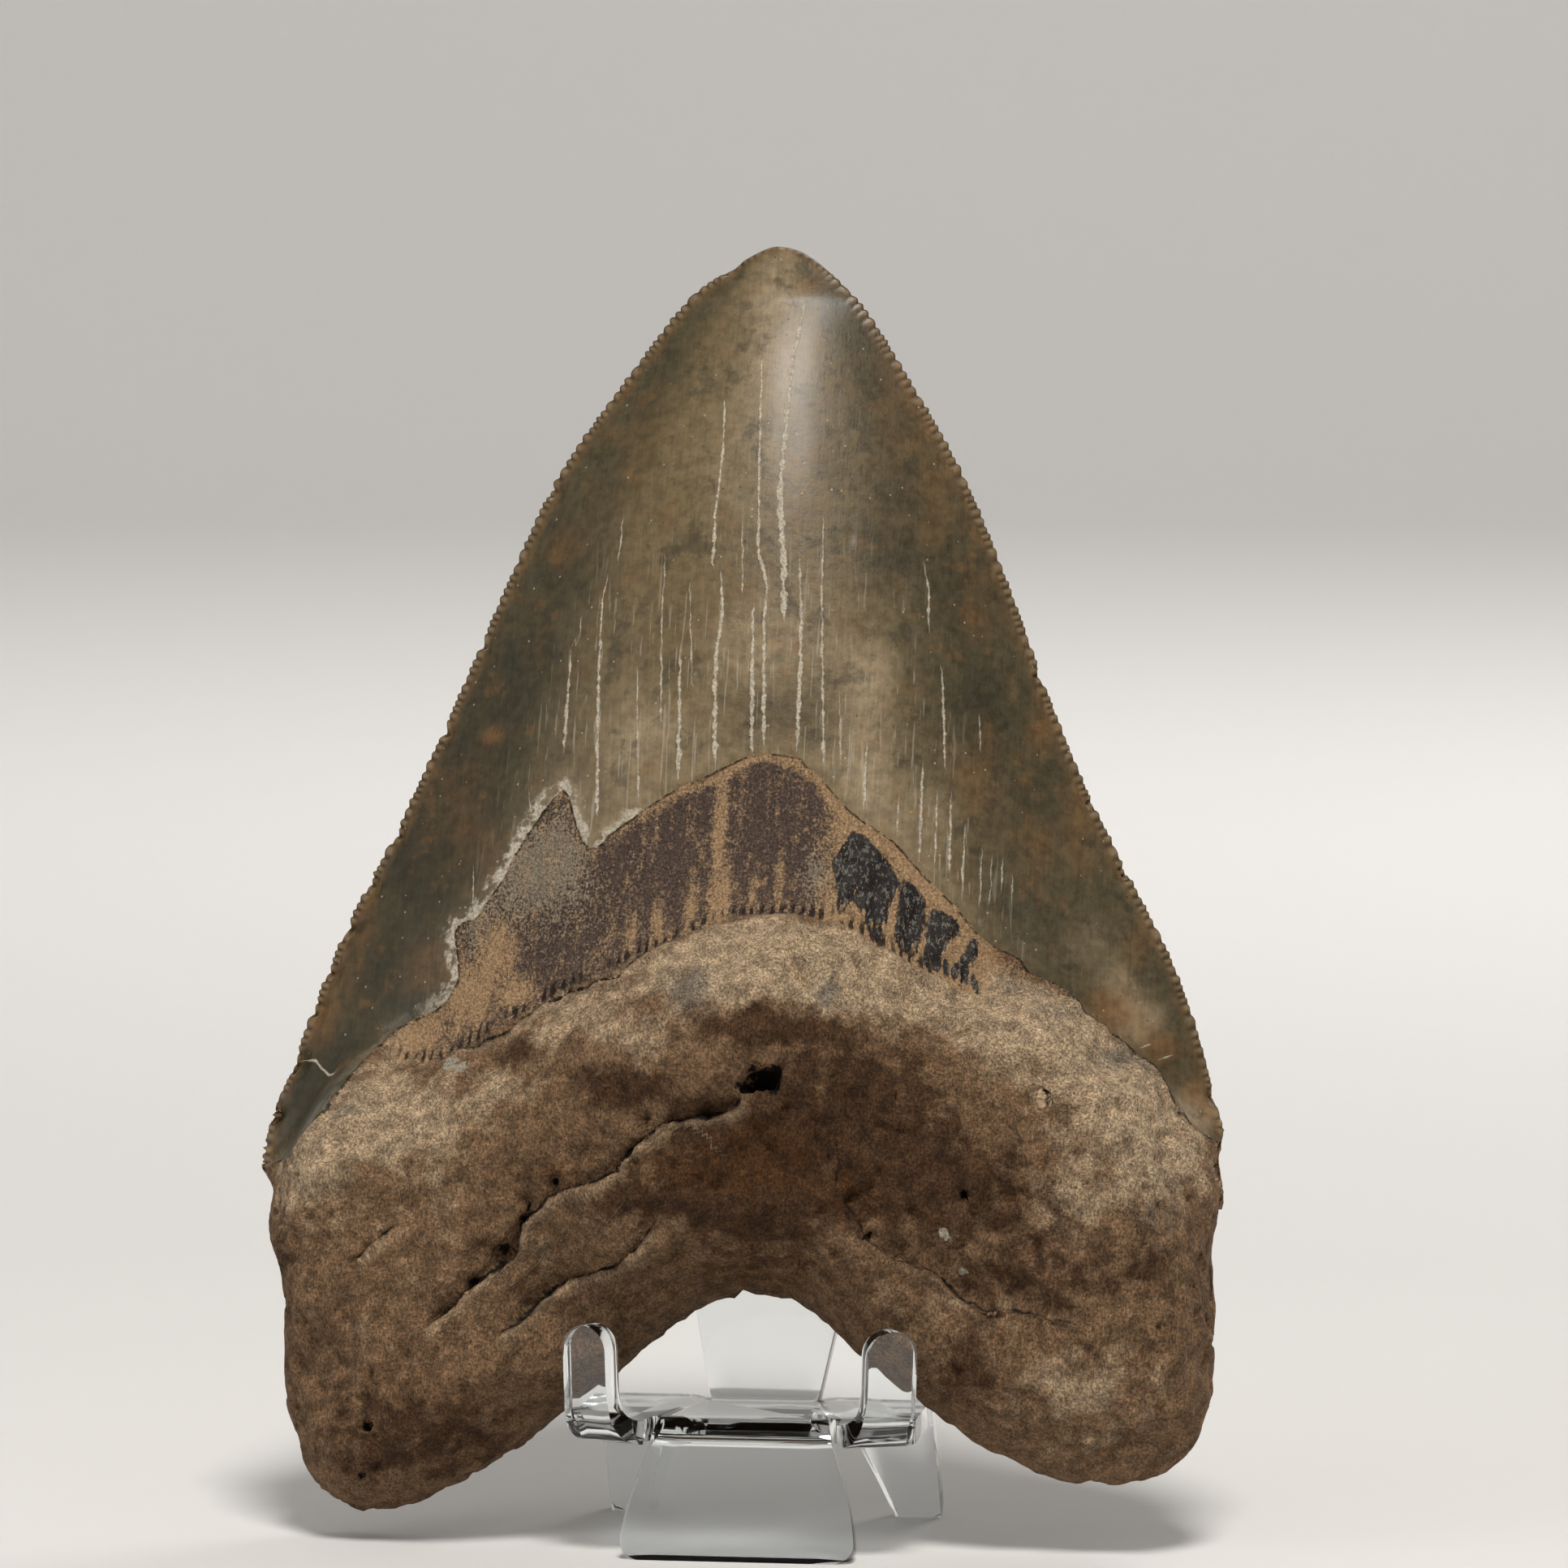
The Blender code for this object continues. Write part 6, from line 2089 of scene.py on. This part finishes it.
class TOOTH_OT_stage(bpy.types.Operator):
    """Adds the pale floor, the soft lights and the camera"""

    bl_idname = "tooth.stage"
    bl_label = "Stage and Camera"

    def execute(self, context):
        settings = context.scene.tooth_stage
        deselect_all()
        bpy.ops.mesh.primitive_circle_add(vertices=FLOOR_SIDES, radius=FLOOR_RADIUS, fill_type="NGON")
        floor = context.object
        floor.name = "floor"
        bpy.ops.object.mode_set(mode="EDIT")
        bpy.ops.mesh.select_mode(type="EDGE")
        bpy.ops.mesh.select_all(action="DESELECT")
        bpy.ops.object.mode_set(mode="OBJECT")
        floor.data.edges.foreach_set("select", [True] * len(floor.data.edges))
        bpy.ops.object.mode_set(mode="EDIT")
        radius = FLOOR_RADIUS
        turn = math.radians(90.0) / SWEEP_STEPS
        for step in range(1, SWEEP_STEPS + 1):
            wider = (FLOOR_RADIUS + SWEEP_RADIUS * math.sin(turn * step)) / radius
            lift = SWEEP_RADIUS * (math.cos(turn * (step - 1)) - math.cos(turn * step))
            bpy.ops.mesh.extrude_region_move(TRANSFORM_OT_translate={"value": (0.0, 0.0, lift)})
            bpy.ops.transform.resize(value=(wider, wider, 1.0), center_override=(0.0, 0.0, 0.0))
            radius *= wider
        bpy.ops.mesh.extrude_region_move(TRANSFORM_OT_translate={"value": (0.0, 0.0, WALL_RISE)})
        bpy.ops.mesh.select_all(action="SELECT")
        bpy.ops.mesh.normals_make_consistent(inside=True)
        bpy.ops.object.mode_set(mode="OBJECT")
        bpy.ops.object.shade_smooth_by_angle(angle=FLOOR_SMOOTH)
        floor.data.materials.append(stage_material(settings))

        soft_light(*KEY_LIGHT, settings.key_power)
        soft_light(*FILL_LIGHT, settings.fill_power)
        soft_light(*BACK_LIGHT, settings.fill_power * BACK_SHARE)
        soft_light(*WALL_LIGHT, settings.wall_power)
        world = bpy.data.worlds.new("even light")
        world.use_nodes = True
        world.node_tree.nodes["Background"].inputs["Color"].default_value = (1.0, 1.0, 1.0, 1.0)
        world.node_tree.nodes["Background"].inputs["Strength"].default_value = settings.sky
        context.scene.world = world

        a, e = CAMERA_AZIMUTH, CAMERA_HEIGHT_ANGLE
        back = Vector((math.sin(a) * math.cos(e), -math.cos(a) * math.cos(e), math.sin(e)))
        data = bpy.data.cameras.new("camera")
        data.sensor_width = SENSOR
        data.lens = FOCAL_LENGTH
        data.clip_start = CLIP_START
        data.clip_end = CLIP_END
        camera = bpy.data.objects.new("camera", data)
        context.scene.collection.objects.link(camera)
        place = (Vector(CAMERA_TARGET) + back * CAMERA_DISTANCE) * MM
        camera.matrix_world = Matrix.Translation(place) @ back.to_track_quat("Z", "Y").to_matrix().to_4x4()
        context.scene.camera = camera
        context.scene.view_settings.view_transform = "Standard"
        return {"FINISHED"}


class TOOTH_PT_panel(bpy.types.Panel):
    """Lists the pieces of the tooth and its stand"""

    bl_idname = "TOOTH_PT_panel"
    bl_label = "Megalodon Tooth"
    bl_space_type = "VIEW_3D"
    bl_region_type = "UI"
    bl_category = "Tooth"

    def draw(self, context):
        layout = self.layout
        for settings, operator in (
            (context.scene.fossil_tooth, TOOTH_OT_fossil),
            (context.scene.tooth_stand, TOOTH_OT_stand),
            (context.scene.tooth_stage, TOOTH_OT_stage),
        ):
            box = layout.box()
            for name in settings.bl_rna.properties.keys():
                if name not in ("name", "rna_type"):
                    box.prop(settings, name)
            box.operator(operator.bl_idname)


CLASSES = (
    ToothSettings,
    StandSettings,
    StageSettings,
    TOOTH_OT_fossil,
    TOOTH_OT_stand,
    TOOTH_OT_stage,
    TOOTH_PT_panel,
)


def register():
    for cls in CLASSES:
        bpy.utils.register_class(cls)
    bpy.types.Scene.fossil_tooth = PointerProperty(type=ToothSettings)
    bpy.types.Scene.tooth_stand = PointerProperty(type=StandSettings)
    bpy.types.Scene.tooth_stage = PointerProperty(type=StageSettings)


def unregister():
    del bpy.types.Scene.tooth_stage
    del bpy.types.Scene.tooth_stand
    del bpy.types.Scene.fossil_tooth
    for cls in reversed(CLASSES):
        bpy.utils.unregister_class(cls)


def main():
    register()
    bpy.ops.tooth.fossil()
    bpy.ops.tooth.stand()
    bpy.ops.tooth.stage()


if __name__ == "__main__":
    main()
